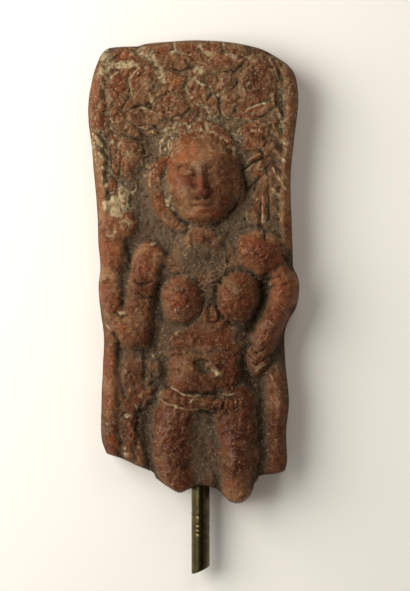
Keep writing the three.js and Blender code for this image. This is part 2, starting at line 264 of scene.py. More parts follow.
height -= 0.5 * dome(spot(201, 180, 60, 56), 1.6)

# The figure's masses: legs to the break, hips, waist, chest and neck, the belly as a block with soft
# corners that leans a little, and the breasts.
height = build_up(height, [
    ([(179, 402, 26, 4.7), (174, 430, 23.5, 5.4), (174, 455, 22, 5.6), (179, 486, 17, 5.2)], 2.2, 2),
    ([(232, 402, 26, 5), (235, 430, 23.5, 5.8), (236.5, 460, 22, 6.1), (237, 491, 16.5, 5.8)], 2.2, 2),
    ((207, 281, 57, 46, 0, 3.7), 3.4, 1.4), ([(200.6, 222, 16, 2.7), (202, 251, 28, 3.5)], 2.2, 1.4),
    ((204, 335, 52, 48, 0, 3.5), 4, 2),
])
belly_x = (wx - 203.5 + 0.12 * (wy - 374)) / 37.5
belly_out = (np.abs(belly_x) ** 5 + np.abs((wy - 373) / 22) ** 5) ** 0.2
height = melt(height, mass(belly_out, 5.4 - 0.5 * belly_x, 5), 0.8)
for cx, cy, long, wide in ((180.5, 300, 24.5, 22.5), (239, 297, 26.5, 22.5)):
    out = spot(cx, cy, long, wide, 90, x=X, y=Y)
    height += 4 * dome(out, 2.3) - 0.5 * np.exp(-(((out - 1.06) / 0.07) ** 2))

# The band of the girdle. Then her right arm, bent up to hold the tree, her left one with its hand on
# the hip, and clay that fills the gaps beside them part way.
height = build_up(height, [
    ([(171, 392, 8, 4.6), (186, 398, 8, 5.1), (205, 401.5, 8, 5.1), (224, 401, 8, 5.2), (239, 397, 8, 4.8)],
     5, 0.8),
    ((124.5, 280, 7, 36, 0, 2.2), 4, 0.6), ((157, 312, 6, 34, 0, 1.6), 4, 0.6),
    ([(150, 261, 19, 3.9), (145, 280, 18, 4.1), (141, 300, 16.5, 4), (138, 322, 18, 4)], 4, 1.6),
    ((132, 331, 24, 20, 0, 4.3), 3.4, 1.6),
    ([(122, 326, 13, 3.7), (112, 300, 14, 3.1), (110.5, 265, 15, 3.1), (113, 240, 14, 2.9)], 4, 1.6),
    ((118, 227, 22, 17, 172, 2.9), 4, 1), ((260, 254.5, 27.5, 25, 30, 6.1), 2.6, 1.2),
    ((283.5, 289, 30, 18, 84, 5.2), 2.8, 1.2),
    ([(284, 292, 15.5, 5), (273, 319, 16, 4.9), (261, 343, 15.5, 4.5)], 2.8, 1.2),
    ((256.5, 357, 18, 13, 100, 4.2), 2.8, 1.2),
])

# The head: a cap of hair, the bed of the braid, an ear pendant, the flat looped braid on the left as
# seen, and the egg of the face, with a garland round the hair.
height = build_up(height, [
    ((201, 168, 42, 43, 0, 5.2), 2.6, 1), ((166, 196, 36, 18, 68, 2.7), 4, 1),
    ((236, 187, 19, 9, 86, 3.3), 3, 1.4),
    ([(168, 162, 7, 3.6), (158.5, 172, 7, 3.1), (156.5, 189, 7, 2.9), (160, 204, 7, 2.8), (168, 217, 7, 2.7),
      (182, 229, 6.6, 2.5)], 4, 0.8),
    ((201.5, 183, 49, 39.5, 90, -0.14, 8.1), 3.6, 0.9),
])
garland_line = [
    (159, 158), (163, 143), (174, 132), (190, 127), (207, 127), (223, 134), (236, 150), (241, 166),
]
garland = dome(follow(garland_line)[0] / 5, 2)
height += (0.8 + 0.8 * lumps(X, Y, 3.6, 28)) * garland

# The tree over her head: blocks of foliage along the rim, then leaves, buds and flowers, each as its
# middle, half length, half width, turn in degrees clockwise, height and how pointed it is.
leaves = [
    (157, 52.5, 17, 6.8, -8, 0.6, 0.1), (187.5, 51, 11.5, 6.4, -2, 0.6, 0), (212, 51.5, 12, 5.8, 2, 0.6, 0),
    (237, 52.5, 12, 6, 8, 0.5, 0.1), (259, 59, 12, 6, 22, 0.4, 0.2), (122, 55, 17, 5, -4, 0.5, 0.2),
    (174, 66, 19, 8.8, 4, 0.9, 0.2), (225, 66.5, 20, 9, -2, 0.8, 0.45), (176, 86, 12.4, 10.6, 0, 0.6, 0),
    (176, 85, 6.8, 6, 0, 0.5, 0), (200, 94, 13, 9.4, 74, 0.9, 0.25), (220.5, 84.5, 13.6, 8.6, 4, 0.8, 0.1),
    (214, 109.5, 11.5, 5.6, 90, 0.8, 0), (172, 110, 17.5, 10.5, -8, 0.9, 0.2),
    (146, 120, 17, 9.6, 12, 0.9, 0.4), (141.5, 90, 19, 9, 88, 0.8, 0.2), (119, 94, 17, 8.6, 86, 0.7, 0.2),
    (257.5, 90, 26, 16.5, 84, 0.9, 0.15), (258, 114, 17, 7, -24, 0.8, 0.35), (233, 109, 12, 11, 0, 0.8, 0),
    (254, 133, 15, 8, -6, 0.9, 0.1), (249, 147.5, 15, 5.4, -16, 0.7, 0.3),
    (253, 170, 15, 8, 112, 1.1, 0.35), (132, 157, 16.5, 12, 80, 1.3, 0.15), (149, 163, 8, 6.6, 30, 0.8, 0),
    (120, 61, 17, 6.5, -8, 0.6, 0.3), (153, 102.5, 7.5, 3.6, 80, 0.7, 0.4),
    (150, 133.5, 12.5, 4.6, 22, 0.7, 0.4), (104, 122, 15, 6, 76, 0.6, 0.3), (120, 122, 12, 7, 62, 0.6, 0.2),
    (115.5, 160, 20, 5.2, 84, 0.8, 0.5), (107.5, 208, 6, 6, 0, 0.8, 0), (116, 209, 12, 5.6, 82, 0.9, 0.2),
    (125, 198, 12, 5.4, 78, 0.9, 0.3), (134, 133, 9, 5.5, 44, 0.5, 0.3), (190, 120, 8, 4, -20, 0.4, 0.3),
    (264, 204, 24, 3.4, 91, 1.0, 0.3), (253, 194, 9, 4.4, 100, 0.6, 0.3), (253, 218, 12, 5, 70, 0.5, 0.3),
    (106, 83, 12, 5, 62, 0.4, 0.2), (104, 103, 12, 5, 80, 0.5, 0.2), (152, 75, 9, 6.5, 80, 0.5, 0.2),
    (139, 66, 10, 5, -10, 0.4, 0.2), (196, 77, 7, 4, 0, 0.4, 0.2), (246, 76, 9, 5, -30, 0.4, 0.2),
    (109, 140, 10, 4.5, 80, 0.5, 0.3), (140, 148, 6, 4, 60, 0.4, 0), (240, 93, 8, 5, -10, 0.3, 0.2),
    (232, 128, 8, 5, -50, 0.4, 0.3), (265, 148, 8, 5, 70, 0.5, 0.2), (262, 165, 9, 4.5, -40, 0.5, 0.3),
    (129, 183, 12, 7, 70, 0.6, 0.3), (112, 186, 9, 5, 88, 0.6, 0.3), (133, 214, 12, 6, 84, 0.5, 0.3),
    (110, 228, 9, 8, 0, 0.5, 0), (123, 232, 10, 7, 110, 0.6, 0.1), (284, 98, 7, 3.6, 90, 0.3, 0.2),
    (130, 366, 17, 8.5, 90, 0.35, 0), (139, 370, 15, 4.4, 92, 0.4, 0.3), (146, 392, 12, 5.6, -30, 0.5, 0.3),
    (130, 397, 9, 6, 96, 0.3, 0.1), (131.5, 430, 16, 6.8, 76, 0.8, 0.35), (143, 452, 12, 6, 70, 0.5, 0.3),
    (127, 450, 11, 5.5, 50, 0.6, 0.3), (156, 367, 8, 6, 30, 0.7, 0.1), (152, 386, 6, 4, 0, 0.3, 0),
]
# A leaf is a low plateau with a groove pressed round it. Its edge is ragged, the groove is uneven and
# darkened with painted shade, and its rim holds lime in broken stretches.
shade_lines = np.zeros(X.shape)
rims = np.zeros(X.shape)
uneven = np.clip(0.7 + 0.9 * lumps(X, Y, 9, 24), 0, 1)
broken_up = np.clip(1.6 * lumps(X, Y, 8, 61) + 0.3, 0, 1)
ragged = 1 + 0.07 * lumps(X, Y, 9, 25)
for cx, cy, long, wide, turn, rise, point in leaves:
    out = spot(cx, cy, 1.12 * long, 1.18 * wide, turn, point=point) * ragged
    height += 0.5 * rise * dome(out, 7)
    reach = 0.8 / min(long, wide)
    edge = np.exp(-(((out - 1 - 0.5 * reach) / reach) ** 2)) * uneven
    height -= 0.45 * rise * edge
    shade_lines = np.maximum(shade_lines, edge * min(1, 1.4 * rise))
    rims = np.maximum(rims, broken_up * np.exp(-(((out - 1 + 1.2 * reach) / (0.9 * reach)) ** 2)))

# Hollows between the leaves, deep enough to hold shade and earth.
hollows = np.zeros(X.shape)
for cx, cy, long, wide, turn, depth in [
    (191, 69, 8, 5, 60, 1.3), (234, 86, 9, 5, 80, 1.1), (156, 88, 12, 6, 60, 1.0),
    (131, 91, 18, 2.4, 88, 0.6), (188, 97, 15, 4, 80, 0.9), (221, 122, 17, 6, 4, 1.0),
    (200, 118, 15, 6, 6, 0.9), (216, 97, 9, 3.4, 20, 0.8), (238, 71, 9, 2.2, -46, 1.2),
    (152, 148, 12, 7, 60, 1.1), (141, 188, 17, 9, 80, 0.8), (112, 196, 8, 4, 60, 0.6),
    (241, 163, 13, 6, 74, 1.0), (222, 106, 7, 2.4, 90, 0.6), (199, 106, 9, 2, 30, 0.5),
    (124, 178, 10, 3, 40, 0.5), (246, 186, 14, 5, 92, 0.8), (256, 186, 9, 2, 110, 0.5),
    (234, 210, 13, 9, 80, 0.9), (145, 208, 12, 10, 0, 0.5), (160, 76, 9, 3, 62, 0.8),
    (113, 160, 12, 2, 82, 0.7),
]:
    hollow = dome(spot(cx, cy, long, wide, turn), 1.8)
    height -= 0.55 * depth * hollow
    hollows = np.maximum(hollows, hollow)

# Veins run back from a leaf's middle line on both sides, given as the leaf's middle, half length, half
# width, turn and the distance between two veins.
for cx, cy, long, wide, turn, gap in [
    (174, 66, 18, 8, 4, 7), (225, 68, 18, 8, 177, 4.2), (120, 61, 16, 6, -8, 4.2),
    (172, 110, 16, 9, 172, 4.6), (131.5, 430, 15, 6, 76, 4.6), (104, 122, 14, 6, 76, 3.6),
    (253, 170, 14, 7, 112, 4.4), (119, 94, 16, 8, 86, 3.8), (254, 133, 14, 7, -6, 4.6),
    (146, 120, 15, 8, 12, 5.5), (106, 92, 20, 5, 76, 3.6), (120, 122, 11, 6, 62, 3.8),
    (141.5, 90, 18, 8, 88, 5), (258, 114, 16, 6, -24, 4.5),
]:
    cosine, sine = np.cos(np.radians(turn)), np.sin(np.radians(turn))
    along = cosine * (wx - cx) + sine * (wy - cy)
    aside = np.abs(cosine * (wy - cy) - sine * (wx - cx))
    inside = dome(spot(cx, cy, long, wide, turn), 6)
    side_veins = np.cos(2 * np.pi * (along - 0.8 * aside) / gap)
    height -= inside * (0.16 * np.exp(-((aside / 0.9) ** 2)) + 0.1 * side_veins)

# Small round things set on the ground: petals of the rosettes, buds, seeds, beads and knots, each as
# its middle, radius and height. A negative height is a pit.
bumps = [
    (168, 80, 3, 0.4), (175, 77.5, 3, 0.4), (183, 81, 3, 0.4), (185, 88, 3, 0.4), (181, 94, 3, 0.4),
    (172, 94, 3, 0.4), (166, 88, 3, 0.4), (213, 83, 4, 0.5), (222, 86, 4.5, 0.5), (230, 54, 3.6, 0.6),
    (230, 53, 1.6, -0.5), (112, 84, 2, 0.6), (116, 81.5, 2, 0.6), (120, 84, 2, 0.6), (114, 88, 2, 0.5),
    (118.5, 89, 2, 0.5), (123, 88, 2, 0.4), (113, 93, 2, 0.4), (117, 95, 2, 0.4), (122, 94, 2, 0.4),
    (115, 100, 2, 0.4), (120, 101, 2, 0.4), (118, 106, 2, 0.3), (229, 103, 4, 0.6), (225, 110, 4, 0.5),
    (230, 117, 4, 0.5), (240, 118, 3.4, 0.4), (242, 107, 3.4, 0.4), (235, 101, 3.4, 0.4),
    (237, 113, 2.3, -1.4), (234, 110, 2, 0.4), (260, 76, 2, -0.4), (115, 145, 2.6, 0.6),
    (131, 151, 1.5, -0.4), (246, 131, 3.8, 0.5), (254, 129, 3.8, 0.5), (262, 132, 3.4, 0.5),
    (249, 138, 3.4, 0.5), (259, 138, 3.4, 0.5), (243, 153, 4, 0.6), (247, 158, 2.4, -0.5),
    (266, 177, 3, 0.7), (203, 66, 2, 0.4), (148, 163, 3, 0.5), (127, 380, 2.4, 0.35), (127, 372, 2.2, 0.35),
    (129, 366, 2, 0.3), (139, 448, 2, -0.7), (279, 395, 2, 0.4), (125, 326, 1.6, 0.5),
    (129, 331.5, 1.8, 0.5), (161, 254, 4.6, 0.8), (152, 245, 4.4, 0.5), (248, 251, 1.6, 0.5),
    (237, 248, 1.6, 0.4), (237, 253.5, 1.6, 0.4), (248, 238, 2, 0.5), (252, 265, 1.8, 0.3),
    (158.5, 303, 1.4, 0.5), (183, 272, 2.6, 0.5), (188, 277, 2.4, 0.4), (194, 278, 2.4, 0.5),
    (172, 228, 2.8, 0.5), (187, 221, 2, 0.3), (184, 334, 1.6, 0.4), (244, 443, 3, 0.4),
    (244, 443, 1.4, -0.5), (229, 444, 2.4, -0.3), (237, 459, 3, -0.3), (180, 458, 2, 0.4),
    (233, 425, 3, 0.3), (106, 279, 1.6, 0.4), (107, 285, 1.6, 0.4), (234, 360, 3, 0.5),
    (238, 371, 2.6, 0.5), (273, 370, 2, 0.3),
]
for cx, cy, radius, rise in bumps:
    height += rise * dome(spot(cx, cy, radius, radius), 2)

# Long ridges: the curled edges of leaves, cords, folds of skin and the fine thread on the chest, as a
# line, a half width and a height.
ridges = [
    ([(131, 113), (140, 111.5), (149, 113), (158, 117.5)], 1.3, 0.35),
    ([(139, 129), (148, 132.5), (158, 137)], 1.3, 0.4),
    ([(240, 150), (246, 146.5), (252, 145), (259, 145)], 1.6, 0.4),
    ([(247, 164), (253, 160), (260, 156)], 1.5, 0.5),
    ([(262, 178), (263, 196), (262.5, 214), (262, 230)], 1.1, 0.4),
    ([(231, 239), (226, 249), (224.5, 258), (223, 276)], 1.0, 0.4),
    ([(190, 233), (189, 241), (192, 249)], 1.6, 0.4), ([(172, 229), (183, 240), (192, 247)], 1.8, 0.45),
    ([(229, 229), (219, 240), (210, 247)], 1.8, 0.4), ([(165, 235), (176, 250), (190, 258)], 1.6, 0.3),
    ([(152, 351), (154, 355), (151, 360), (146, 359)], 1.5, 0.6),
    ([(271, 373), (275, 384), (274.5, 394), (280, 399)], 1.4, 0.5),
    ([(103, 176), (104, 183), (107, 187), (111, 189)], 1.2, 0.5),
    ([(101, 166), (104, 171), (107, 175)], 1.2, 0.4), ([(92, 133), (98, 141), (106, 149)], 2, 1.2),
    ([(94, 148), (100, 154), (106, 162)], 2, 1.2),
    ([(110, 148), (111, 160), (116, 172), (121, 179)], 1.6, 0.7),
    ([(273, 100), (277, 114), (284, 129)], 1.6, 1.0),
    ([(272, 128), (278, 137), (283, 147), (288, 146)], 1.6, 1.0),
    ([(271, 148), (277, 154), (281, 161), (286, 164)], 1.7, 1.0),
    ([(273, 170), (278, 180), (285, 190)], 1.6, 0.8), ([(272, 190), (277, 195), (283, 200)], 1.6, 0.8),
    ([(275, 212), (280, 218), (284, 223)], 1.5, 0.7),
    ([(270, 64), (273, 73), (277, 79), (281, 89)], 1.8, 0.8), ([(276, 66), (281, 73), (285, 80)], 1.5, 0.6),
    ([(276, 92), (274, 104), (276, 115)], 1.5, 0.6), ([(108, 324), (112, 334), (114, 345)], 1.3, 0.4),
    ([(130, 347), (140, 352), (150, 349)], 1.6, 0.3),
    ([(207, 304), (204, 312), (207, 320), (214, 319), (217, 311), (213, 307)], 1.9, 1.2),
    ([(220, 309), (226, 313), (225, 320), (220, 322)], 1.8, 1.0),
    ([(205, 325), (214, 329), (226, 324)], 2.4, 0.8), ([(244, 269), (252, 273), (260, 279)], 1.4, 0.5),
    ([(263, 281), (268, 277), (273, 281)], 1.4, 0.5), ([(266, 286), (272, 282), (278, 284)], 1.3, 0.5),
    ([(270, 291), (276, 288), (282, 282)], 1.3, 0.5), ([(272, 272), (277, 280), (283, 282)], 1.3, 0.35),
    ([(102, 221), (116, 218), (131, 221)], 3, 0.6), ([(102, 230), (116, 228), (134, 230)], 3, 0.6),
    ([(106, 239), (120, 238), (130, 242)], 2.6, 0.5),
    ([(171, 354), (184, 352), (202, 355), (222, 353), (240, 355)], 1.3, 0.5),
    ([(144, 247), (150, 244), (156, 243)], 1.3, 0.6), ([(207, 237), (218, 233), (230, 226)], 1.4, 0.4),
    ([(159, 142), (161, 150), (160, 159)], 1, 0.4), ([(165, 143), (167, 151), (168, 160)], 1, 0.5),
    ([(172, 143), (173, 151), (172, 160)], 1, 0.5),
    ([(151, 171), (150, 186), (152, 200), (160, 213), (170, 223)], 1.2, 0.35),
    ([(162, 163), (155, 169), (151, 175)], 1.3, 0.5),
    ([(162, 175), (162, 190), (165, 203), (173, 213)], 1.1, 0.3),
    ([(140, 385), (147, 391), (154, 389)], 1.6, 0.6), ([(147, 360), (150, 372), (148, 383)], 1.5, 0.4),
    ([(155, 395), (149, 399), (146, 404)], 1.6, 0.5),
    ([(122, 418), (128, 416.5), (137, 419), (138, 430), (137, 446)], 1.1, 0.5),
    ([(257, 349), (262, 347), (268, 342)], 1.5, 0.35), ([(254, 358), (259, 355), (265, 353)], 1.5, 0.35),
    ([(254, 367), (259, 364), (264, 362)], 1.5, 0.4),
    ([(166, 381), (173, 386), (181, 389.5), (190, 392.5), (200, 392.5), (212, 395)], 1.2, 0.4),
    ([(224, 394), (232, 391), (241, 388)], 1.2, 0.4),
    ([(160, 397), (168, 402), (176, 406), (190, 406.5), (208, 409), (222, 408), (244, 402)], 1.3, 0.4),
    ([(256, 405), (255.5, 440), (255.5, 476)], 1.2, 0.4),
]
for line, width, rise in ridges:
    height += rise * stroke(line, width)

# Cut lines that stay open: the undercut sides of leaves, the joints of arm rings, the crease over the
# belly and the cracks beside the legs, as a line, a half width and a depth.
cuts = [
    ([(133, 110), (141, 108.5), (149, 110), (155, 113.5), (162, 119)], 1.1, 0.5),
    ([(168, 73), (176, 74), (184, 75), (191, 70)], 1.4, 0.6),
    ([(161, 122), (171, 121.5), (178, 118.5), (184, 117), (190, 110)], 1.2, 0.6),
    ([(181, 77), (186.5, 83), (184, 91), (176, 96), (168, 94)], 1.2, 0.5),
    ([(206, 80), (212, 76.5), (222, 75.5), (232, 74)], 1.3, 0.55),
    ([(243, 66), (239, 70), (234, 75)], 1.3, 0.8),
    ([(240, 122), (250, 124), (260, 120), (270, 113)], 1.2, 0.7),
    ([(243, 112), (255, 108), (264, 104.5), (272, 100)], 1.1, 0.6),
    ([(254, 70), (254.5, 80), (253, 92)], 1.1, 0.35), ([(152, 58), (158, 56.5), (162, 58)], 1.2, 0.5),
    ([(276, 70), (281, 84), (282, 100), (281, 116), (276, 131), (269.5, 147), (269, 170), (268.5, 195),
      (269, 230)], 1.6, 0.14),
    ([(105, 68), (107, 85), (107, 110), (107, 130), (108, 148), (111, 160), (117, 176)], 1.5, 0.18),
    ([(97, 131), (103, 139), (109, 148)], 1.5, 0.8), ([(97, 145), (104, 152), (109, 161)], 1.5, 0.8),
    ([(105.5, 174), (106.5, 178), (107.5, 183)], 1.5, 0.6),
    ([(112, 162), (115, 172), (119, 177)], 1.2, 0.6), ([(261, 159), (253, 164), (246, 170)], 1.3, 0.8),
    ([(260, 178), (255, 184), (253, 191)], 1.3, 0.6), ([(158, 376), (152, 382), (146, 387)], 1.3, 0.35),
    ([(142, 390), (138, 394)], 1.2, 0.4), ([(144, 400), (141.5, 405), (139.5, 412)], 1.3, 0.5),
    ([(139, 418), (138.5, 430), (137.5, 446)], 1.2, 0.6),
    ([(120.5, 343), (120.5, 360), (121.5, 380), (121, 400), (121, 425), (122, 442)], 1.2, 0.3),
    ([(145, 355), (145.5, 366), (145, 380)], 1.2, 0.3), ([(125, 420), (128, 431), (133, 441)], 1.1, 0.4),
    ([(136, 280), (143, 283.5), (152, 283)], 1.5, 0.55),
    ([(138, 292.5), (146, 297), (153, 297)], 1.5, 0.55), ([(105, 272), (112, 274), (119, 272)], 1.2, 0.3),
    ([(104, 281), (112, 283), (119, 281)], 1.2, 0.3), ([(168, 370), (174, 368.5), (185, 370)], 1.1, 0.4),
    ([(170, 351), (184, 348.5), (201, 352), (222, 349.5), (240, 351)], 1.3, 0.3),
    ([(257, 352), (261, 350), (267, 344)], 1.5, 0.55), ([(256, 362), (261, 359.5), (268, 355)], 1.5, 0.55),
    ([(217.5, 306), (219, 314), (216, 321), (208, 322)], 1.2, 0.6),
    ([(209, 309), (210, 315), (213, 317)], 1.1, 0.5),
    ([(166, 384), (174, 389), (183, 392.5), (192, 396), (204, 396.5), (216, 397)], 1.1, 0.4),
    ([(162, 395), (169, 399), (177, 403), (190, 403.5), (208, 406), (222, 405)], 1.1, 0.4),
    ([(158, 402), (172, 408), (192, 411), (222, 411), (246, 406)], 1.3, 0.3),
    ([(262, 285), (268, 281), (274, 284)], 1.0, 0.4), ([(268, 290), (274, 286), (280, 286)], 1.0, 0.45),
    ([(281, 257), (286, 263), (292, 269)], 1.6, 1.0), ([(262, 277), (270, 278), (279, 276)], 1.3, 0.6),
    ([(277, 104), (281, 115), (287, 127)], 1.3, 0.35), ([(277, 127), (283, 136), (287, 142)], 1.2, 0.35),
    ([(275, 146), (282, 153), (287, 160)], 1.2, 0.35), ([(276, 168), (282, 178), (288, 187)], 1.2, 0.35),
    ([(247, 341), (252, 348), (257, 352)], 1.5, 0.55), ([(247, 352), (252, 359), (256, 362)], 1.5, 0.55),
    ([(224, 486), (229, 491), (233, 497)], 1.0, 0.3), ([(228, 485), (233, 490)], 1.0, 0.2),
    ([(174, 45), (175, 52), (172, 57)], 1.2, 0.4), ([(199.5, 45), (199, 52), (202, 57)], 1.2, 0.4),
    ([(222, 46), (222.5, 52), (225, 57)], 1.1, 0.4), ([(118, 62), (112, 65), (106, 66)], 1.2, 0.4),
    ([(144, 160), (149, 158), (152, 156)], 1.4, 0.7), ([(146, 166), (150, 161)], 1.0, 0.4),
    ([(148, 168), (152, 164)], 1.0, 0.4), ([(240, 230), (250, 226), (262, 227)], 1.8, 0.4),
    ([(163, 178), (164, 190), (168, 203), (176, 215), (186, 225)], 2, 0.2),
    ([(239, 172), (240, 185), (238, 200), (233, 211)], 1.6, 0.5), ([(201, 45), (196, 49)], 0.9, 0.2),
    ([(244, 55), (247, 61)], 1.0, 0.3), ([(253, 56), (262, 60), (268, 66)], 1.1, 0.35),
    ([(236, 362), (239, 366)], 1.4, 0.5), ([(115, 331), (118, 338), (121, 345)], 2.2, 0.8),
    ([(108, 318), (113, 323)], 1.2, 0.4), ([(117, 312), (123, 316), (129, 314)], 1.6, 0.6),
]
for line, width, depth in cuts:
    cut = stroke(line, 0.85 * width)
    height -= 1.2 * depth * cut
    # Each cut is also darkened with painted shade.
    shade_lines = np.maximum(shade_lines, min(1, 1.8 * depth) * cut)

# Rings on both arms, the twist of the braid, the necklaces, the cords of beads between the breasts
# and the girdle, each as ripples along a line, with their reach, spacing and height. Then the
# girdle's three square plates, and the round clasp of the necklace under the chin.
for line, reach_out, gap, rise in [
    ([(119, 254), (119, 296)], 8, 6.2, 0.3), ([(281, 304), (268, 334)], 11, 5.2, 0.35),
    ([(148, 262), (143, 285), (140, 312)], 14, 5.3, 0.12), ([(262, 330), (253, 366)], 12, 5.8, 0.14),
    ([(163, 162), (156, 174), (155.5, 189), (159.5, 204), (168, 217), (184, 231)], 5, 5.2, 0.15),
    ([(263, 273), (268, 284), (276, 297)], 10, 4.4, 0.6), ([(107, 252), (107, 292)], 9, 6.5, 0.25),
    ([(216, 258), (213.5, 275), (214, 290), (212.5, 303)], 2.4, 3.9, 0.8),
    ([(225, 262), (221.5, 277), (221.5, 291), (221, 303)], 2.4, 3.9, 0.8),
    ([(173, 224), (184, 233), (200, 238), (216, 233), (228, 224)], 2.6, 4.2, 0.25),
    ([(180, 262), (192, 272), (204, 277), (216, 276)], 2.6, 4.4, 0.2),
    ([(279, 262), (286, 284), (286, 306)], 10, 6, 0.35),
    ([(163, 390), (172, 396), (188, 399.5), (206, 401)], 5, 7.6, 0.25),
]:
    away, run, _ = follow(line)
    height += rise * dome(away / reach_out, 3) * np.cos(2 * np.pi * run / gap) * uneven
for cx, cy in ((218, 402), (228.5, 400.5), (238.5, 399)):
    out = ((np.abs(wx - cx) / 4.4) ** 4 + (np.abs(wy - cy) / 5) ** 4) ** 0.25
    height += 0.8 * dome(out, 5) - 0.7 * dome(out * 1.7, 2)
    edge = np.exp(-(((out - 1.15) / 0.14) ** 2))
    height -= 0.5 * edge
    # The plates' edges are darkened with painted shade.
    shade_lines = np.maximum(shade_lines, edge)
height += 0.5 * dome(spot(200.5, 240.5, 10.5, 7), 2.6)
height += 0.5 * dome(spot(200, 239, 5, 4), 2)

# Gaps pressed deep between the arms and the body, then the chip at the navel with the lump of lime in
# it, and the swelling under the breasts where the cords end.
for line, width, depth in [
    ([(127, 248), (125, 266), (124, 290), (124, 308)], 2.6, 0.6),
    ([(159, 286), (157, 310), (157, 345)], 4, 0.9),
    ([(262, 286), (263.5, 303), (259, 317), (250, 327)], 4.4, 1.8), ([(163, 266), (158, 280)], 3, 0.7),
    ([(243, 150), (244, 170), (246, 188), (241, 214)], 5, 0.5),
    ([(246, 330), (244, 352), (245, 372), (252, 384)], 4, 1.0),
    ([(165, 330), (166, 345), (163, 370)], 4, 0.5),
]:
    height -= depth * stroke(line, width)
height -= 2.4 * dome(spot(205, 366, 14, 8, 36), 2.4)
height += (1.1 + 0.5 * lumps(X, Y, 3.4, 72)) * dome(spot(213, 369, 10, 7, 40), 4)
# The line over the navel is darkened with painted shade.
shade_lines = np.maximum(shade_lines, stroke([(195, 362), (200, 358.5), (209, 360)], 2))
height += 1.1 * dome(spot(214, 317, 14, 11), 2)

# Her face is a plain calm one. The head is three and a half thirds high, half a third of it over the
# hairline; brow, base of the nose and chin follow a third apart. The eyes lie halfway up the head, and
# the face is five eyes wide. Places are from the point between the eyes, in the head's own lean.
head_x, head_top, chin_y = 201.5, 124.0, 228.0
face_width = 75.0
lean = np.radians(-3)
third = (chin_y - head_top) / 3.5
head_y = (head_top + chin_y) / 2
fx = np.cos(lean) * (X - head_x) + np.sin(lean) * (Y - head_y)
fy = np.cos(lean) * (Y - head_y) - np.sin(lean) * (X - head_x)
chin = chin_y - head_y
nose_base = chin - third
brow = nose_base - third
eye_long = face_width / 10


def on_face(cx, cy, long, wide, turn=0.0, point=0.0):
    """An oval in the face's own lean."""
    return spot(cx, cy, long, wide, turn, point=point, x=fx, y=fy)


for side in (-1, 1):
    eye_x = side * 2 * eye_long
    height -= 0.8 * dome(on_face(eye_x + side, 0, 12, 7), 2)
    height += 1.5 * dome(on_face(eye_x, 0, eye_long + 1.4, 4.6, side * 3, 0.4), 2)
    lid = [(eye_x - side * 7.6, 0.8), (eye_x, -4.6), (eye_x + side * 8.2, 0.6)]
    low_lid = [(eye_x - side * 7, 1), (eye_x, 4.2), (eye_x + side * 7.4, 0.8)]
    height += 0.6 * stroke(lid, 1.4, fx, fy) + 0.4 * stroke(low_lid, 1.2, fx, fy)
    over_lid = [(eye_x - side * 7, -3.4), (eye_x, -7.4), (eye_x + side * 9, -2)]
    height -= 0.2 * stroke(over_lid, 1.5, fx, fy)
    lashes = [(eye_x - side * 8, 2), (eye_x, 2.6), (eye_x + side * 8.4, 1.4)]
    height -= 0.35 * stroke(lashes, 0.9, fx, fy)
    # The lash line is darkened with painted shade.
    shade_lines = np.maximum(shade_lines, 0.55 * stroke(lashes, 1, fx, fy))
    brow_line = [(side * 5, brow - 3.5), (eye_x, brow - 5.5), (side * 25, brow + 2)]
    height += 0.45 * stroke(brow_line, 2.8, fx, fy)
    height += 1.1 * dome(on_face(side * 6, nose_base - 3.4, 4.2, 4.4), 2)
    height += 0.7 * dome(on_face(side * 17, nose_base - 2, 11, 13), 2)
height += 0.5 * dome(on_face(0, brow + 1, 8, 8), 2)
nose_line = [(0, brow + 1, 4.6, 0.6), (0, nose_base - 11, 5.6, 1.8), (0, nose_base - 3.6, 7, 3)]
nose, _, nose_values = follow(nose_line, fx, fy)
height += nose_values[3] * dome(nose / np.maximum(nose_values[2], 1), 2)
mouth = nose_base + third / 3
height += 1.0 * dome(on_face(0, mouth - 2.6, 10.5, 3.6, 0, 0.5), 2)
height += 1.1 * dome(on_face(0, mouth + 3, 9, 3.6, 0, 0.3), 2)
lips = [(-11, mouth - 1.4), (-4, mouth), (0, mouth + 0.5), (4, mouth), (11, mouth - 1.4)]
height -= 0.7 * stroke(lips, 1.1, fx, fy)
# The parting of the lips is darkened with painted shade.
shade_lines = np.maximum(shade_lines, 0.5 * stroke(lips, 1, fx, fy))
height += 1.0 * dome(on_face(0, chin - 7.5, 11, 7.5), 2)
height -= 0.4 * dome(on_face(0, mouth + 7.4, 7.5, 2.2), 2)
# The face takes less wear than the rest.
calm = dome(spot(201.5, 185, 38, 44), 4)

# Wear. The edges of every form are rubbed soft and a little flatter. Short strokes of the tool, curling
# ridges of slip, grit and small pits break up the surface, more among the leaves than on the figure.
height = 0.85 * blurred(height, 0.6)
rough_ground = np.clip(1 - height / 3.6, 0, 1) * np.clip((Y - 120) / 60, 0, 1) * (1 - calm)
rough_ground *= 1 - dome(spot(203, 445, 16, 50), 4)


def curls(size, seed):
    """Thin curling ridges about size units apart, from 0 to 1: highest where a warped field of lumps
    passes through zero."""
    warp_x, warp_y = (0.7 * size * lumps(X, Y, 1.5 * size, seed + k) for k in (1, 2))
    field = lumps(X + warp_x, Y + warp_y, size, seed)
    return np.clip(1 - np.abs(field) / 0.25, 0, 1) ** 1.5


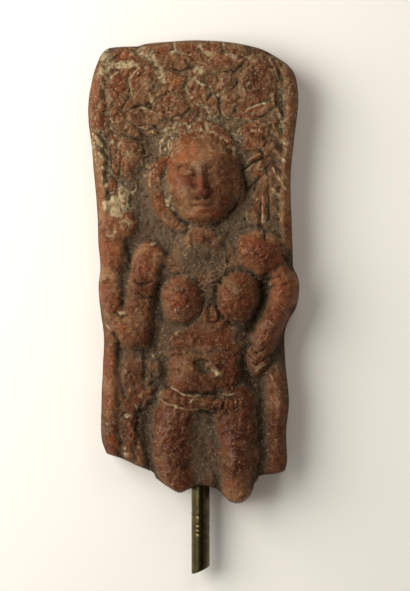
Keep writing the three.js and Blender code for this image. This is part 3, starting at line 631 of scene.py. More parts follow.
flow = lumps(X, Y, 26, 21) + 0.6 * lumps(X, Y, 12, 22)
tooled = np.clip(np.cos(2 * np.pi * 2.8 * flow), 0, 1) ** 3 * np.clip(lumps(X, Y, 15, 23) + 0.6, 0, 1)
foliage = np.clip(1.5 - Y / 165, 0, 1) + 0.4 + 0.4 * dome(spot(112, 104, 18, 34, 4), 2)
foliage = np.maximum(foliage, 0.9 * dome(spot(279, 160, 14, 74), 3))
foliage = np.maximum(foliage, 0.5 * dome(spot(136, 405, 18, 54), 3)) * (1 - 0.92 * calm)
height += 0.26 * tooled * foliage
curled = np.clip(0.2 + 1.2 * lumps(X, Y, 19, 27), 0, 1)
height += (0.16 * curls(13, 41) + 0.08 * curls(5, 51)) * foliage * curled
height += (0.14 * curls(6, 71) + 0.05 * curls(3.4, 81)) * rough_ground
grit = 0.5 * lumps(X, Y, 8.3, 5) + 0.8 * lumps(X, Y, 4.3, 6) + 0.8 * lumps(X, Y, 2.3, 7)
rough = 0.2 + 0.06 * np.clip(lumps(X, Y, 31, 8) + 0.3, 0, 1) + 0.04 * (Y > 395) - 0.07 * calm
rough *= 1 - 0.5 * dome(spot(203, 450, 14, 50), 4)
height += rough * grit
pits = np.clip(lumps(X, Y, 4.4, 9) * lumps(X, Y, 9.1, 10) - 0.22, 0, 0.25)
height -= 1.2 * pits * (1 - 0.7 * calm)
fine_relief = height - blurred(height, 2.0)
broad_relief = height - blurred(height, 11)

# The shell. The front turns down over the worn edge into the slab's side, which is pressed by hand and
# swells a little, and is a rough break at the foot. The back is flat, with the marks of the fingers.


def border(grid):
    """The values round the edge of a grid, once round from its first corner."""
    return np.concatenate([grid[0, :-1], grid[:-1, -1], grid[-1, :0:-1], grid[:0:-1, 0]])


outline = border(drawing)
from_rim = np.full(X.shape, far)
for k in range(0, len(outline), 2):
    turn_radius = (break_round if k < columns else edge_round) / unit
    from_rim = np.minimum(from_rim, np.hypot(X - outline[k, 0], Y - outline[k, 1]) / turn_radius)
rounding = np.sqrt(1 - np.clip(1 - from_rim, 0, 1) ** 2)
rounding[0, :] = rounding[-1, :] = 0
rounding[:, 0] = rounding[:, -1] = 0
front_z = rim_level + (slab + height - rim_level) * rounding

low, high = (np.array(c) * 1000 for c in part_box("plaque"))
drawn_low = np.array([outline[:, 0].min(), -outline[:, 1].max()])
drawn_high = np.array([outline[:, 0].max(), -outline[:, 1].min()])


def to_part(x, y, z):
    """Places of the drawing, in units with y down, as metres in the part's frame."""
    u = low[0] + (x - drawn_low[0]) / (drawn_high[0] - drawn_low[0]) * (high[0] - low[0])
    v = low[1] + (-y - drawn_low[1]) / (drawn_high[1] - drawn_low[1]) * (high[1] - low[1])
    return np.stack([u, v, z], axis=-1).reshape(-1, 3) / 1000


# The sides run down in rings. Each is the outline moved outwards by the swell, the marks of the hand
# and the roughness of the break, and drawn in a little near the back.
tangent = np.roll(outline, -6, axis=0) - np.roll(outline, 6, axis=0)
outward = np.stack([-tangent[:, 1], tangent[:, 0]], axis=-1)
outward /= np.hypot(outward[:, 0], outward[:, 1])[:, None]
middle = np.array([centre_line, leg_tip - half_size[1]])
around = np.arange(len(outline))
back_round = 1.6
at_foot = np.clip(1 - np.abs(around - columns / 2) / (columns / 2 + 6), 0, 1) ** 0.25
rings = []
for share in (0.12, 0.25, 0.4, 0.55, 0.7, 0.82, 0.92, 1.0):
    z = rim_level * (1 - share) * np.ones(len(outline))
    swell = 0.35 * np.sin(np.pi * share) / unit
    hand = lumps(outline[:, 0] + 60 * share, outline[:, 1] + 40 * share, 23, 11)
    broken = lumps(outline[:, 0] + 90 * share, outline[:, 1] + 150 * share, 6, 12)
    broken += lumps(outline[:, 0] + 60 * share, outline[:, 1] + 210 * share, 2.6, 13)
    out = swell + (0.16 * hand + 0.32 * at_foot * broken) / unit * min(1, 3 * share)
    drawn_in = back_round / unit * max(0, (share - 0.7) / 0.3) ** 2
    ring = outline + out[:, None] * outward
    ring = middle + (ring - middle) * (1 - drawn_in / half_size)
    rings.append((ring, z))

# The back is a coarser grid, set in from the edge, with shallow hollows left by the fingers.
coarse = 5
back_inset = 3.0
back = middle + (drawing[::coarse, ::coarse] - middle) * (1 - back_inset / unit / half_size)
fingers = lumps(back[..., 0], back[..., 1], 41, 14) + 0.6 * lumps(back[..., 0], back[..., 1], 13, 15)
back_z = 0.35 * np.clip(fingers, 0, 1)
for edge in (np.s_[0, :], np.s_[-1, :], np.s_[:, 0], np.s_[:, -1]):
    back_z[edge] = 0

points = [to_part(X, Y, front_z)] + [to_part(ring[:, 0], ring[:, 1], z) for ring, z in rings]
points.append(to_part(back[..., 0], back[..., 1], back_z))
points = np.vstack(points)


def squares(grid, faces_back=False):
    """The corners of each square of a grid of vertex numbers, in order round it, or the other way round."""
    corners = np.stack([grid[:-1, :-1], grid[:-1, 1:], grid[1:, 1:], grid[1:, :-1]], axis=-1)
    return corners.reshape(-1, 4)[:, [0, 3, 2, 1] if faces_back else [0, 1, 2, 3]]


# Squares join each ring to the one above it, and triangles join the last ring to the coarser back.
front_grid = np.arange(X.size).reshape(X.shape)
loops = X.size + np.arange(len(rings) * len(outline)).reshape(len(rings), len(outline))
sides = np.vstack([border(front_grid), loops])
under = X.size + loops.size + np.arange(back_z.size).reshape(back_z.shape)
closed_sides = np.column_stack([sides, sides[:, 0]])
quads = np.vstack([squares(front_grid), squares(closed_sides, True), squares(under, True)])
last_ring, under_border = sides[-1], border(under)
nearest = under_border[((around + 2) // coarse) % len(under_border)]
fans = np.stack([last_ring, nearest, np.roll(last_ring, -1)], axis=-1)
between_fans = last_ring[coarse // 2 + 1::coarse]
back_fans = np.stack([under_border, np.roll(under_border, -1), between_fans], axis=-1)
faces = quads.tolist() + np.vstack([fans, back_fans]).tolist()

plaque_mesh = bpy.data.meshes.new("plaque_clay")
plaque_mesh.from_pydata(points.tolist(), [], faces)
plaque_mesh.polygons.foreach_set("use_smooth", np.ones(len(plaque_mesh.polygons), bool))


def carry(name, field, elsewhere):
    """Keeps a value for each vertex: the front grid's own field, and one value on the sides and back."""
    values = np.full(len(points), elsewhere, np.float32)
    values[:X.size] = field.reshape(-1)
    plaque_mesh.attributes.new(name, "FLOAT", "POINT").data.foreach_set("value", values)


def patched(field, places, grown, fullness):
    """A field raised by soft patches, each as its middle, half sizes, turn and amount. All of them are
    drawn larger by grown."""
    for cx, cy, long, wide, turn, amount in places:
        patch = dome(spot(cx, cy, long + grown, wide + grown, turn), fullness)
        field = np.maximum(field, amount * patch)
    return field


# Earth from the ground lies wherever the relief is low, and pale lime and slip fill some of its
# grooves and spread over a few places. A few of the pale spots are painted highlights instead: on the
# left breast, on the top of the upper arm and down the braid's outer edge.
leafy = np.maximum(dome(spot(192, 86, 108, 54), 5), 0.7 * dome(spot(279, 160, 14, 80), 3))
low_ground = np.clip(-broad_relief / 0.9, 0, 1) * (1 - 0.6 * leafy)
flat_ground = np.clip(1 - height / 2.4, 0, 1) * (1 - 0.85 * leafy)
earth = np.clip(0.08 + 0.6 * low_ground + 0.45 * flat_ground + 0.5 * np.clip(-fine_relief / 0.25, 0, 1)
                - 0.25 * np.clip(broad_relief / 1.2, 0, 1), 0, 1)
earth = patched(np.maximum(earth, 0.8 * hollows), [
    (203, 452, 13, 48, 0, 1.0), (143, 205, 13, 34, 0, 0.8), (240, 205, 16, 24, 0, 0.8),
    (204, 259, 46, 24, 0, 0.95), (155, 190, 8, 26, 0, 0.5), (178, 240, 13, 12, 0, 0.8),
    (222, 246, 14, 14, 0, 0.8), (165, 336, 12, 16, 0, 0.8), (250, 310, 8, 20, 20, 0.6),
    (124, 280, 4, 30, 0, 0.9), (196, 344, 40, 5, 0, 0.3), (226, 122, 20, 9, 0, 0.8),
    (165, 255, 14, 18, 0, 0.5), (166, 348, 8, 30, 0, 0.8), (238, 338, 14, 12, 0, 0.7),
    (225, 240, 20, 14, 0, 0.6), (212, 285, 9, 24, 0, 0.6), (176, 402, 14, 5, 20, 0.4),
    (149, 425, 6, 40, 0, 0.9), (262, 420, 6, 50, 0, 0.6), (130, 347, 20, 6, 0, 0.5),
    (178, 232, 14, 8, 30, 0.6), (232, 290, 10, 16, 0, 0.6), (133, 305, 7, 30, 0, 0.4),
    (161, 150, 6, 14, 0, 0.7), (166, 192, 7, 16, 0, 0.6), (202, 266, 40, 22, 0, 0.8),
    (176, 328, 18, 12, 0, 0.7), (238, 330, 16, 22, 0, 0.7), (208, 327, 22, 8, 0, 0.5),
    (172, 345, 8, 12, 0, 0.7), (176, 80, 22, 12, 0, 0.35), (206, 112, 16, 14, 0, 0.5),
    (141, 170, 14, 40, 0, 0.5), (149, 142, 14, 12, 0, 0.5), (228, 401, 18, 5, -6, 0.35),
    (195, 400, 24, 4, 4, 0.25), (252, 62, 20, 8, 30, 0.3), (268, 130, 5, 60, 0, 0.5),
    (130, 82, 8, 24, 0, 0.3),
], 0, 1.6)
earth = blurred(earth, 1.5) + 0.3 * np.clip(lumps(X, Y, 19, 91) * lumps(X, Y, 7, 92) - 0.08, 0, 0.5)
pale = patched(np.zeros(X.shape), [
    (106, 63, 9, 6, 60, 1.5), (109, 72, 9, 4, 84, 1.3), (124, 69, 18, 4, 0, 1.3), (162, 78, 13, 6, 66, 1.1),
    (198, 74, 7, 5, -20, 1), (241, 61, 10, 3, 12, 1.2), (152, 62, 5, 4, 0, 1), (118, 210, 14, 8, 40, 1.2),
    (152.5, 102, 6, 2.4, 80, 0.8), (177, 57, 8, 3, 0, 0.9), (135, 57, 5, 3, -50, 0.8),
    (143, 51, 10, 2.8, -38, 0.7), (206, 57, 8, 2, 24, 0.9), (232, 58, 9, 2, 16, 0.8),
    (244, 62, 8, 3, 14, 0.8), (240, 96, 6, 4.5, 0, 0.7), (215, 97, 9, 3, 10, 0.6),
    (107.5, 207.5, 5, 5.5, 0, 1.6), (115, 208, 11, 5, 82, 1.4), (124, 196, 11, 5, 78, 1.3),
    (128, 207, 4, 2, 40, 1.2), (98, 140, 9, 1.4, 46, 1.0), (101, 155, 9, 1.2, 48, 1.0),
    (218, 371, 6, 4, 50, 1.2), (211, 368, 3, 4, 40, 1.1), (238, 371, 3, 4, 0, 0.7),
    (174, 404, 6, 3, 30, 0.8), (126, 448, 10, 4.6, 50, 0.8), (127, 415, 7, 2.6, -6, 0.8),
    # The spot at 169, 283 is a painted highlight on the left breast.
    (241, 252, 10, 8, 0, 0.4), (169, 283, 9, 3.4, -10, 0.6), (233, 292, 7, 9, 0, 0.5),
    (190, 276, 12, 4, 20, 0.6), (202, 263, 10, 4, 0, 0.55), (268, 282, 7, 5, -20, 0.6),
    (284, 163, 4, 2.4, 30, 0.95), (286, 146.5, 4, 1.6, -20, 0.95), (267, 178, 2.6, 5.5, 0, 0.8),
    (200, 130, 14, 4, 0, 0.7), (168, 134, 12, 5, -10, 0.65), (152, 57.5, 6, 3, -20, 0.7),
    (154, 62, 5, 3, 60, 0.7), (233, 60, 10, 3, 18, 0.7), (161, 254, 3, 4, 0, 0.6),
    (197, 394, 5, 1.6, 0, 0.8), (104, 170, 6, 2, 60, 0.7), (105, 183, 6, 1.8, 60, 0.8),
    # The spot at 154, 245 is a painted highlight on the top of the upper arm.
    (274, 63, 9, 2.4, 50, 0.6), (122, 313, 8, 2.4, -6, 0.5), (154, 245, 4, 1.6, -24, 0.8),
    (184, 225, 4, 2, 0, 0.4), (109, 325, 5, 2, 50, 0.5), (280, 199, 4, 3, 0, 0.7),
    (281, 220, 4, 2.4, 30, 0.7), (274, 196, 3, 5, 0, 0.5), (157, 212, 8, 4, 60, 0.4),
    (259, 335, 12, 11, 0, 0.3), (274, 300, 5, 14, -14, 0.2), (114, 145, 3, 2.4, 0, 0.6),
    (131, 156, 10, 14, 0, 0.4), (144, 120, 12, 7, 0, 0.2), (172, 108, 14, 8, 0, 0.2),
    (127, 371, 3, 6, 0, 0.35), (268, 207, 2, 16, 0, 0.35), (154, 355, 4, 2, 80, 0.8),
    (277, 391, 2, 10, 8, 0.6), (185, 352, 6, 2, 0, 0.6),
], 1, 1.3)
on_figure = dome(spot(204, 330, 80, 110), 4)
pale *= 1 - 0.5 * on_figure
pale = np.maximum(pale, 0.55 * rims * np.clip(2.2 - Y / 200, 0.3, 1))
for line, width, amount in [
    ([(166, 381), (173, 386.5), (181, 390), (190, 393), (200, 393), (212, 395)], 1.1, 0.55),
    ([(160, 397), (168, 402), (176, 406), (190, 406.5), (208, 409), (222, 408), (236, 406),
      (246, 402)], 1.1, 0.4), ([(225, 394), (234, 391), (243, 387)], 1.1, 0.4),
    ([(240, 392), (243.5, 398), (243, 404)], 1.1, 0.3), ([(221, 396), (220.5, 402), (221, 407)], 1, 0.2),
    ([(232, 395), (232, 401), (232, 406)], 1, 0.2), ([(190, 399), (194, 396), (198, 393)], 1.1, 0.7),
    ([(174, 44), (175.5, 50), (177, 55)], 1.2, 0.9), ([(198, 45), (200.5, 52), (203, 56)], 1.4, 0.9),
    ([(223, 45), (224.5, 51), (225, 56), (233, 59)], 1.4, 0.9), ([(149, 62), (155, 67), (160, 75)], 2, 0.8),
    ([(99, 73), (105, 79), (110, 86)], 1.1, 0.8), ([(111, 81), (116, 78.5), (121, 76)], 1.1, 0.8),
    ([(133, 112.5), (141, 110.5), (150, 112.5), (160, 118)], 1.1, 0.75),
    ([(139, 128), (148, 132), (156, 136.5), (162, 138)], 1.3, 0.8),
    ([(191, 82), (200, 86.5), (208, 88), (212, 93), (218, 96)], 1.1, 0.9),
    ([(192, 101), (198, 106), (203, 109), (208, 110)], 1.2, 0.9), ([(243, 67), (237, 73)], 1.0, 0.8),
    ([(247, 111), (255, 109), (263, 106.5), (269, 103.5)], 1.2, 0.7),
    ([(273, 101), (277, 114), (284, 129)], 1.0, 0.75), ([(272, 128), (278, 137), (283, 147)], 1.0, 0.8),
    ([(270, 148), (277, 154), (283, 163)], 1.1, 0.8), ([(272, 170), (278, 180), (285, 190)], 1.0, 0.7),
    ([(92, 132), (98, 140), (105, 148)], 1.4, 1.3), ([(94, 148), (100, 154), (106, 161)], 1.4, 1.2),
    ([(272, 190), (278, 195), (283, 200)], 1.4, 0.8), ([(275, 212), (280, 218), (284, 223)], 1.1, 0.7),
    ([(231, 239), (226, 249), (224.5, 258), (223, 276)], 1.0, 0.35),
    ([(247, 273), (253, 276), (259, 282)], 1.2, 0.45),
    ([(190, 133), (197, 131.5), (205, 134), (214, 135), (222, 145)], 1.2, 0.7),
    ([(160, 143), (168, 138), (178, 135)], 1.2, 0.8), ([(160, 144), (160, 158)], 0.9, 0.6),
    ([(168.5, 144), (168.5, 160)], 1, 0.7), ([(172.5, 145), (172.5, 160)], 1, 0.7),
    ([(155, 171), (159, 167), (163, 163)], 1.2, 0.8), ([(204, 153), (214, 154), (224, 157)], 1.0, 0.5),
    ([(254, 368), (259, 364.5), (263, 363)], 1.3, 0.5),
    ([(271, 373), (275, 385), (275, 395), (281, 399.5)], 1.0, 0.45), ([(136, 404), (138.5, 411)], 1.1, 0.6),
    ([(125, 418), (128, 430), (133, 440)], 1.0, 0.3), ([(277, 305), (281, 309)], 1.0, 0.35),
    ([(280, 311), (285, 314)], 1.0, 0.4), ([(268, 321), (273, 325)], 1.0, 0.4),
    ([(225, 311), (227, 316)], 1.1, 0.3), ([(166, 201), (168, 206)], 1.4, 0.9),
    # The stroke at x 151 is a painted highlight down the braid's outer edge.
    ([(174, 210), (183, 221), (192, 230)], 1.3, 0.3), ([(151, 170), (152, 190)], 1.1, 0.5),
    ([(144, 58), (151, 62)], 1.4, 0.6), ([(129, 90), (131, 104)], 1.2, 0.4),
    ([(261, 160), (254, 165), (246, 172)], 1, 0.5), ([(152.5, 405), (152, 425), (153, 440)], 1, 0.25),
    ([(256, 408), (256, 470)], 1.0, 0.25),
]:
    pale = np.maximum(pale, amount * stroke(line, width))
garland_lime = 0.5 * garland * (1 - dome(spot(228, 150, 34, 18, 60), 2)) * (0.4 + lumps(X, Y, 3.4, 34))
pale = np.maximum(pale, garland_lime)
pale *= np.clip(0.8 + 0.6 * lumps(X, Y, 8, 32) + 0.7 * lumps(X, Y, 3.4, 33), 0, 1)
in_grooves = 0.75 * np.clip(-fine_relief / 0.22 - 0.3, 0, 1) * np.clip(lumps(X, Y, 21, 31) + 0.45, 0, 1)
pale = np.maximum(pale, in_grooves * np.clip(2.2 - Y / 130, 0.1, 1))

# Handling has rubbed the highest places orange and left a faint polish on them. Some of the orange patches
# are painted highlights on the lit left flanks of forms, such as the forehead, the elbow and the left flank
# of the left leg.
rubbed_and_lit = np.clip(fine_relief / 0.5, 0, 1) * 0.2 + 0.13 * np.clip(broad_relief / 1.6, 0, 1)
rubbed_and_lit = patched(rubbed_and_lit, [
    (188, 152, 14, 20, 0, 0.9), (200, 186, 7, 22, 0, 0.4), (212, 156, 18, 14, 0, 0.45),
    (200, 215, 18, 8, 0, 0.4), (112, 250, 8, 15, 0, 0.6), (107, 294, 5, 10, 0, 0.5),
    (124, 326, 10, 9, 0, 0.55), (145, 268, 8, 16, 0, 0.4), (176, 300, 13, 14, 0, 0.5),
    (177, 178, 8, 7, 0, 0.4), (262, 336, 9, 14, 0, 0.35), (112, 400, 7, 50, 0, 0.35),
    (96, 96, 4, 20, 0, 0.6), (176, 85, 7, 6, 0, 0.9), (229, 106, 7, 6, 0, 0.6), (180, 362, 10, 11, 0, 0.35),
    (199, 96, 7, 9, 0, 0.6), (126, 61, 8, 4, 0, 0.7), (200, 240, 7, 4, 0, 0.4), (145, 121, 11, 6, 0, 0.5),
    (254, 133, 12, 7, 0, 0.3), (131, 155, 9, 11, 0, 0.25), (214, 107, 4, 9, 0, 0.5),
    (293, 281, 4, 9, 0, 0.7), (114, 432, 7, 18, 0, 0.55), (128, 234, 7, 8, 0, 0.4),
    (198, 343, 24, 8, 0, 0.35), (165, 166, 6, 5, 0, 0.6), (228, 375, 10, 10, 0, 0.25),
    (165, 430, 8, 18, 0, 0.4), (160, 54, 16, 8, 0, 0.5), (180, 60, 22, 10, 0, 0.4),
    (222, 62, 16, 8, 0, 0.45), (118, 90, 12, 24, 0, 0.3), (284, 400, 3, 20, 0, 0.3),
    (283, 455, 4, 14, 0, 0.6), (274, 320, 6, 10, 0, 0.35), (118, 372, 3, 30, 0, 0.3),
    (101, 196, 3, 9, 0, 0.7), (246, 300, 9, 16, 0, 0.45), (258, 248, 16, 12, 0, 0.4),
    (234, 480, 8, 12, 0, 0.3),
], 2, 1.3)
rubbed_and_lit *= np.clip(0.75 + 0.4 * lumps(X, Y, 9, 62) + 0.5 * lumps(X, Y, 4.2, 63), 0, 1)

# Parts of the clay fired or stained darker, to a maroon brown. Its first term also darkens the clay
# towards the foot, a painted shade for light that falls off down the plaque.
maroon = np.clip((Y - 200) / 400, 0, 0.55) + 0.2 * lumps(X, Y, 33, 64) + 0.3 * on_figure
maroon = patched(maroon, [
    (176, 446, 24, 58, 0, 1), (238, 448, 24, 60, 0, 1), (262, 256, 22, 20, 0, 1),
    (242, 300, 20, 24, 0, 0.7), (182, 302, 21, 24, 0, 1), (207, 380, 40, 24, 0, 1),
    (204, 340, 34, 14, 0, 0.8), (270, 325, 14, 36, 14, 0.7), (142, 290, 15, 44, 8, 0.85),
    (222, 172, 14, 30, 0, 0.8), (180, 205, 14, 20, 0, 0.4), (134, 370, 10, 20, 0, 0.9),
    (268, 430, 14, 48, 0, 0.9), (223, 200, 9, 20, 0, 0.6), (176, 205, 10, 22, 0, 0.6),
    (200, 222, 22, 6, 0, 0.6), (105, 100, 5, 16, 0, 0.5), (257, 88, 18, 22, 0, 1), (134, 376, 12, 28, 0, 1),
    (205, 190, 30, 34, 0, 0.8), (206, 150, 26, 18, 0, 0.4), (200, 240, 15, 11, 0, 0.9),
    (253, 54, 14, 6, 20, 0.7), (190, 50, 8, 6, 0, 0.3), (283, 340, 8, 20, 0, 0.6), (150, 393, 9, 9, 0, 0.6),
    (125, 215, 7, 9, 0, 0.5), (283, 272, 8, 10, 0, 0.6), (172, 250, 9, 12, 0, 0.5),
    (187, 262, 9, 8, 0, 0.4), (230, 75, 6, 4, 0, 0.5), (222, 340, 14, 10, 0, 0.4),
    (155, 300, 6, 40, 0, 0.5), (236, 190, 5, 10, 0, 0.6), (200, 415, 40, 8, 0, 0.4),
    (131, 425, 7, 12, 0, 0.5), (120, 186, 8, 8, 0, 0.4), (289, 105, 5, 14, 0, 0.4),
], 3, 1.5)

# Painted shade darkens the creases, the fine grooves and, more towards the foot, the earth beside the
# figure. Fine marks are sharpest on the carved leaves, but for the smooth big one on the right.
# Painted shade on the earth, growing towards the foot, and on every groove by its depth.
lower_shade = 0.75 * earth * np.clip((Y - 215) / 40, 0, 1)
painted_shade = np.clip(np.maximum(np.maximum(shade_lines, lower_shade), (-fine_relief - 0.1) / 0.3), 0, 1)
big_leaf = dome(spot(257, 90, 20, 28), 3)
carved = np.clip((1.3 * foliage - 0.4) * (1 - 0.6 * earth) * (1 - 0.6 * big_leaf), 0.06, 1.2)
for name, field, elsewhere in [
    ("earth", earth, 0.35), ("pale", pale, 0.0), ("rubbed_and_lit", rubbed_and_lit, 0.05), ("maroon", maroon, 0.2),
    ("carved", carved, 0.25), ("painted_shade", painted_shade, 0.0),
]:
    carry(name, field, elsewhere)


def linear(colour):
    """The linear values of an sRGB hex colour."""
    channels = np.array([int(colour[k:k + 2], 16) for k in (1, 3, 5)]) / 255
    curved = ((channels + 0.055) / 1.055) ** 2.4
    return tuple(np.where(channels <= 0.04045, channels / 12.92, curved)) + (1.0,)


def add_node(tree, kind, settings):
    """Adds a shader node with its settings, by the name of a property or the name or number of an
    input. An input whose value is another node's output is linked to it."""
    node = tree.nodes.new(kind)
    for name, value in settings.items():
        if isinstance(value, bpy.types.NodeSocket):
            tree.links.new(value, node.inputs[name])
        elif isinstance(name, int) or name in node.inputs:
            node.inputs[name].default_value = value
        else:
            setattr(node, name, value)
    return node


def start_material(name):
    """A new material, with its node tree and its shader."""
    material = bpy.data.materials.new(name)
    material.use_nodes = True
    return material, material.node_tree, material.node_tree.nodes["Principled BSDF"]


# Terracotta: low-fired red clay with fine grit, buried for long and then handled. It is dull and
# earthy in the hollows, with a waxy polish and an orange tone where it is rubbed; its colours also paint
# shade into its creases and some highlights on its lit flanks.
clay, tree, shader = start_material("terracotta")
place = add_node(tree, "ShaderNodeTexCoord", {}).outputs["Object"]
where = {}
for name, size_mm, detail, roughness, distortion in [
    ("blotches", 9.0, 3.0, 0.6, 0.4), ("stains", 3.6, 4.0, 0.65, 0.9), ("mottle", 1.7, 4.0, 0.65, 1.6),
    ("grain", 0.8, 3.0, 0.65, 1.2),
]:
    noise = add_node(tree, "ShaderNodeTexNoise",
                     {"Scale": 1000 / size_mm, "Detail": detail, "Roughness": roughness,
                      "Distortion": distortion, "Vector": place})
    where[name] = noise.outputs["Fac"]
for name in ("earth", "pale", "rubbed_and_lit", "maroon", "painted_shade", "carved"):
    where[name] = add_node(tree, "ShaderNodeAttribute", {"attribute_name": name}).outputs["Fac"]
# Fine threads of slip and hairline cracks run where two of the noises pass through their middle value,
# and are broader among the carved leaves.
for name, source in (("threads", "stains"), ("hairlines", "mottle")):
    off_middle = add_node(tree, "ShaderNodeMath", {"operation": "SUBTRACT", 0: where[source], 1: 0.5})
    off_middle = add_node(tree, "ShaderNodeMath", {"operation": "ABSOLUTE", 0: off_middle.outputs[0]})
    off_middle = add_node(tree, "ShaderNodeMath",
                          {"operation": "DIVIDE", 0: off_middle.outputs[0], 1: where["carved"]})
    where[name] = off_middle.outputs[0]

# Each colour lies over those before it: where the named value runs from the first to the second
# number, up to the third, and broken up as far as the fourth by the noise named last.
colour = linear("#754328")
for over, name, first, second, most, broken, breaker in [
    ("#98724f", "blotches", 0.4, 0.62, 0.9, 0.4, "stains"),
    # Maroon stain, and towards the foot painted shade.
    ("#3d190e", "maroon", 0.0, 1.0, 0.97, 0.25, "stains"),
    ("#381c10", "stains", 0.52, 0.68, 0.6, 0.4, "mottle"),
    # Orange of rubbed wear, and in places a painted highlight.
    ("#a04d24", "rubbed_and_lit", 0.0, 1.0, 0.9, 0.4, "mottle"),
    ("#5c4f40", "earth", 0.2, 0.85, 1.0, 0.35, "mottle"),
    # Pale lime, and in a few spots a painted highlight.
    ("#baa780", "pale", 0.1, 0.6, 1.0, 0.5, "mottle"),
    # Painted shade in the creases and grooves.
    ("#21150d", "painted_shade", 0.3, 0.95, 0.75, 0.0, "mottle"),
    ("#22130b", "mottle", 0.45, 0.32, 0.6, 0.0, "stains"),
    ("#bfa27c", "threads", 0.028, 0.0, 0.6, 0.8, "mottle"),
    ("#170d07", "hairlines", 0.03, 0.0, 0.6, 1.0, "blotches"),
    ("#a98a62", "grain", 0.55, 0.68, 0.6, 0.6, "stains"),
    ("#1d0f09", "grain", 0.44, 0.3, 0.35, 0.5, "blotches"),
]:
    amount = add_node(tree, "ShaderNodeMapRange",
                      {"interpolation_type": "SMOOTHSTEP", "From Min": first, "From Max": second,
                       "To Max": most, "Value": where[name]})
    breaks = add_node(tree, "ShaderNodeMapRange",
                      {"interpolation_type": "SMOOTHSTEP", "From Min": 0.38, "From Max": 0.58,
                       "To Min": 1 - broken, "Value": where[breaker]})
    amount = add_node(tree, "ShaderNodeMath",
                      {"operation": "MULTIPLY", 0: amount.outputs[0], 1: breaks.outputs[0]})
    mix = add_node(tree, "ShaderNodeMix",
                   {"data_type": "RGBA", 0: amount.outputs[0], 6: colour, 7: linear(over)})
    colour = mix.outputs[2]
tree.links.new(colour, shader.inputs["Base Color"])
# The clay is fairly dull, and fully so under earth. A thin coat gives the clean clay its waxy polish, and
# the grain and the mottle roughen it, most of all on the leaves.
dull = add_node(tree, "ShaderNodeMapRange",
                {"From Min": 0.1, "From Max": 0.6, "To Min": 0.6, "To Max": 0.95, "Value": where["earth"]})
tree.links.new(dull.outputs[0], shader.inputs["Roughness"])
shader.inputs["Specular IOR Level"].default_value = 0.05
polish = add_node(tree, "ShaderNodeMapRange",
                  {"From Min": 0.1, "From Max": 0.4, "To Min": 0.14, "To Max": 0.0, "Value": where["earth"]})
tree.links.new(polish.outputs[0], shader.inputs["Coat Weight"])
shader.inputs["Coat Roughness"].default_value = 0.26
worn = add_node(tree, "ShaderNodeMapRange",
                {"From Min": 0.1, "From Max": 1.1, "To Min": 0.6, "To Max": 0.9, "Value": where["carved"]})
bump = add_node(tree, "ShaderNodeBump",
                {"Distance": 0.0005, "Height": where["grain"], "Strength": worn.outputs[0]})
bump = add_node(tree, "ShaderNodeBump",
                {"Distance": 0.001, "Height": where["mottle"], "Normal": bump.outputs[0],
                 "Strength": worn.outputs[0]})
tree.links.new(bump.outputs[0], shader.inputs["Normal"])
plaque_mesh.materials.append(clay)

plaque = bpy.data.objects.new("plaque_clay", plaque_mesh)
bpy.context.scene.collection.objects.link(plaque)
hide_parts("plaque")
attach(plaque, "root")

# The mounting rod: round brass rod, gone dark, gripped with pliers near its middle and nipped off on
# the slant at its free end. Its other end is glued into a hole drilled in the foot.
rod_low, rod_high = (np.array(c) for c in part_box("mounting_rod"))
rod_radius = (rod_high[0] - rod_low[0]) / 2
rod_middle = (rod_low + rod_high) / 2
rod_sides, rod_rings = 64, 150
cut_slope = 0.45
cut_reach = 0.006
burr_round = 0.0004
ring_y = np.linspace(rod_low[1] + cut_slope * rod_radius, rod_high[1], rod_rings + 1)[:, None]
angle = np.linspace(0, 2 * np.pi, rod_sides, endpoint=False)[None, :]
# The pliers' teeth left nicks, each as its distance from the free end in mm and its turn in degrees.
nicks = np.zeros((rod_rings + 1, rod_sides))
for from_end_mm, turn in [
    (11.3, 96), (12.5, 92), (13.7, 98), (16.1, 94), (10.6, 10), (13.9, 6), (15.6, 170), (17.2, 176),
    (18.0, 172),
]:
    along = (ring_y - rod_low[1]) * 1000 - from_end_mm
    around_it = np.angle(np.exp(1j * (angle - np.radians(turn))))
    nicks = np.maximum(nicks, np.exp(-((along / 0.2) ** 2) - (around_it / 0.36) ** 2))
# The rod is a little out of round, and its cut end has a small burr, rubbed round.
radius = rod_radius * (1 - 0.06 * nicks) * (1 - 0.012 * (1 + np.cos(angle * 3)) / 2)
end_round = np.clip((ring_y - ring_y[0]) / burr_round, 0, 1)
radius = radius * (0.93 + 0.07 * np.sqrt(1 - (1 - end_round) ** 2))
# The rings lean over towards the slanting cut as they come near it.
near_end = np.clip(1 - (ring_y - ring_y[0]) / cut_reach, 0, 1)
rod_x = rod_middle[0] + radius * np.cos(angle)
rod_y = ring_y + near_end * cut_slope * radius * np.cos(angle)
rod_z = rod_middle[2] + radius * np.sin(angle)
rod_points = np.stack([rod_x, rod_y, rod_z], axis=-1).reshape(-1, 3)
rod_grid = np.arange(rod_points.shape[0]).reshape(rod_rings + 1, rod_sides)
following = np.roll(rod_grid, -1, axis=1)
rod_faces = squares(np.column_stack([rod_grid, rod_grid[:, 0]]), True).tolist()
end_middles = [rod_points[rod_grid[0]].mean(axis=0), rod_points[rod_grid[-1]].mean(axis=0)]
first_end = len(rod_points)
rod_points = np.vstack([rod_points, end_middles])
rod_faces += np.stack([rod_grid[0], following[0], np.full(rod_sides, first_end)], axis=-1).tolist()
rod_faces += np.stack([following[-1], rod_grid[-1], np.full(rod_sides, first_end + 1)], axis=-1).tolist()
rod_mesh = bpy.data.meshes.new("rod_brass")
rod_mesh.from_pydata(rod_points.tolist(), [], rod_faces)
rod_mesh.polygons.foreach_set("use_smooth", np.ones(len(rod_mesh.polygons), bool))
rod_mesh.set_sharp_from_angle(angle=0.9)

